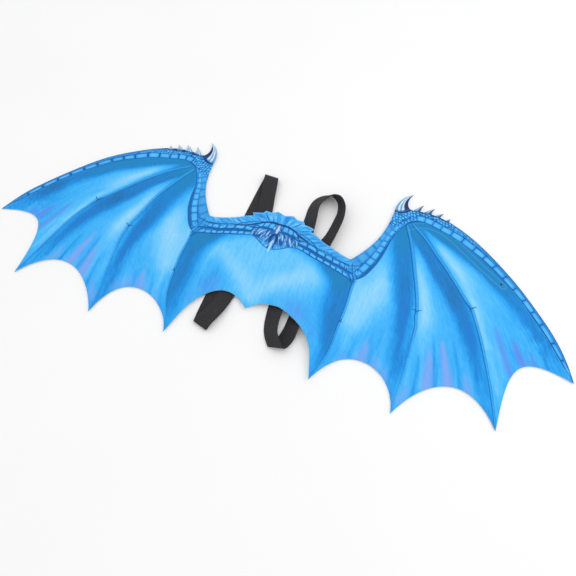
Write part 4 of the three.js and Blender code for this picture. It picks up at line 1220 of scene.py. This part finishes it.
def turn_out(ob):
    """Faces pointing out, by the sign of the closed mesh's volume."""
    me = ob.data
    me.calc_loop_triangles()
    tris = np.zeros(len(me.loop_triangles) * 3, np.int32)
    me.loop_triangles.foreach_get("vertices", tris)
    co = np.zeros(len(me.vertices) * 3)
    me.vertices.foreach_get("co", co)
    a, b, c = (co.reshape(-1, 3)[tris.reshape(-1, 3)[:, k]] for k in range(3))
    if np.einsum("ij,ij->i", a, np.cross(b, c)).sum() < 0:
        me.flip_normals()


def stay_strip(name, side, material):
    laid = lie(*np.array([(side * a, b) for a, b in STAY_LINE], float).T)
    line = curve(np.stack(laid, 1), 2.0)
    d = np.gradient(line, axis=0)
    d /= np.hypot(d[:, 0], d[:, 1])[:, None]
    across = np.stack([-d[:, 1], d[:, 0]], 1)
    half, soft = STAY_WIDTH / 2, 0.4
    section = [(-half, soft), (-half + 0.12, 0.12), (-half + soft, 0.0), (half - soft, 0.0), (half - 0.12, 0.12), (half, soft),
               (half, STAY_THICK - soft), (half - 0.12, STAY_THICK - 0.12), (half - soft, STAY_THICK), (-half + soft, STAY_THICK),
               (-half + 0.12, STAY_THICK - 0.12), (-half, STAY_THICK - soft)]
    n, m = len(line), len(section)
    total = np.concatenate([[0], np.cumsum(np.hypot(*np.diff(line, axis=0).T))])
    # rounded ends
    ends = np.minimum(total, total[-1] - total)
    squeeze = np.sqrt(np.clip(1 - (1 - np.clip(ends / half, 0, 1)) ** 2, 0.12, 1))
    points = []
    for i in range(n):
        for w, z in section:
            x, y = line[i] + across[i] * w * squeeze[i]
            points.append((x + PLACE[0], y + PLACE[1], z))
    faces = []
    for i in range(n - 1):
        for k in range(m):
            q = (k + 1) % m
            faces.append((i * m + k, i * m + q, (i + 1) * m + q, (i + 1) * m + k))
    faces.append(tuple(range(m))[::-1])
    faces.append(tuple((n - 1) * m + k for k in range(m)))
    ob = mesh_object(name, np.array(points) * MM, faces, [material])
    turn_out(ob)
    return ob


# ---------------------------------------------------------------- making
print_felt = print_material()
edge_felt = raw_felt_material("felt_edge", srgb(188, 214, 236), srgb(140, 180, 216))
back_felt = raw_felt_material("felt_back", srgb(226, 232, 238), srgb(202, 212, 224))
elastic = elastic_material()
plastic = stay_material()

panel = felt_panel([print_felt, edge_felt, back_felt])
left = elastic_band("elastic_left", BAND_LEFT, elastic)
right = elastic_band("elastic_right", BAND_RIGHT, elastic)
stay_l = stay_strip("stay_strip_left", -1, plastic)
stay_r = stay_strip("stay_strip_right", 1, plastic)
for piece, node, slot in (
    (panel, "wing_panel", "printed_felt"),
    (left, "strap_left", "elastic"),
    (right, "strap_right", "elastic"),
    (stay_l, "stay_left", "stay_plastic"),
    (stay_r, "stay_right", "stay_plastic"),
):
    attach(piece, "root")
    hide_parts(node)

# ---------------------------------------------------------------- floor, light, camera
floor_mat = Nodes("pale_floor")
fx, fy, fz = object_coords(floor_mat)
mottle = floor_mat.noise(floor_mat.vec(floor_mat.mul(fx, 0.004), floor_mat.mul(fy, 0.004)), 1.0, 3.0, 0.5)
floor_mat.put(floor_mat.bsdf.inputs["Base Color"], floor_mat.mix(mottle, srgb(252, 252, 253), srgb(255, 255, 255)))
floor_mat.bsdf.inputs["Roughness"].default_value = 0.95
floor_mat.bsdf.inputs["Specular IOR Level"].default_value = 0.1
floor = mesh_object("floor", [(-4, -4, -0.0001), (4, -4, -0.0001), (4, 4, -0.0001), (-4, 4, -0.0001)], [(0, 1, 2, 3)], [floor_mat.mat])

scene = bpy.context.scene
scene.view_settings.view_transform = "Standard"
world = bpy.data.worlds.new("studio")
scene.world = world
world.use_nodes = True
world.node_tree.nodes["Background"].inputs[0].default_value = (1.0, 1.0, 1.0, 1.0)
world.node_tree.nodes["Background"].inputs[1].default_value = 0.885


def softbox(name, place, aim, size, energy):
    data = bpy.data.lights.new(name, "AREA")
    data.shape, data.size, data.energy = "DISK", size, energy
    ob = bpy.data.objects.new(name, data)
    ob.location = place
    ob.rotation_euler = (Vector(aim) - Vector(place)).to_track_quat("-Z", "Y").to_euler()
    scene.collection.objects.link(ob)


softbox("key", (1.0, 0.4, 1.3), (0, 0, 0), 1.4, 4.2)
softbox("fill", (-1.2, 0.6, 1.6), (0, 0, 0), 1.4, 1.0)

AZIMUTH, ELEVATION = math.radians(19.145), math.radians(60.87)
AIM = Vector((43.62, -53.016, 2.0)) * MM
back = Vector((math.sin(AZIMUTH) * math.cos(ELEVATION), -math.cos(AZIMUTH) * math.cos(ELEVATION), math.sin(ELEVATION)))
across = Vector((math.cos(AZIMUTH), math.sin(AZIMUTH), 0))
lens = bpy.data.cameras.new("camera")
lens.sensor_width, lens.lens = 36.0, 29.06
lens.clip_start, lens.clip_end = 0.01, 50
camera = bpy.data.objects.new("camera", lens)
turn = Matrix((across, back.cross(across), back)).transposed().to_4x4()
camera.matrix_world = Matrix.Translation(AIM + back * 0.7045) @ turn
scene.collection.objects.link(camera)
scene.camera = camera

bpy.context.view_layer.update()
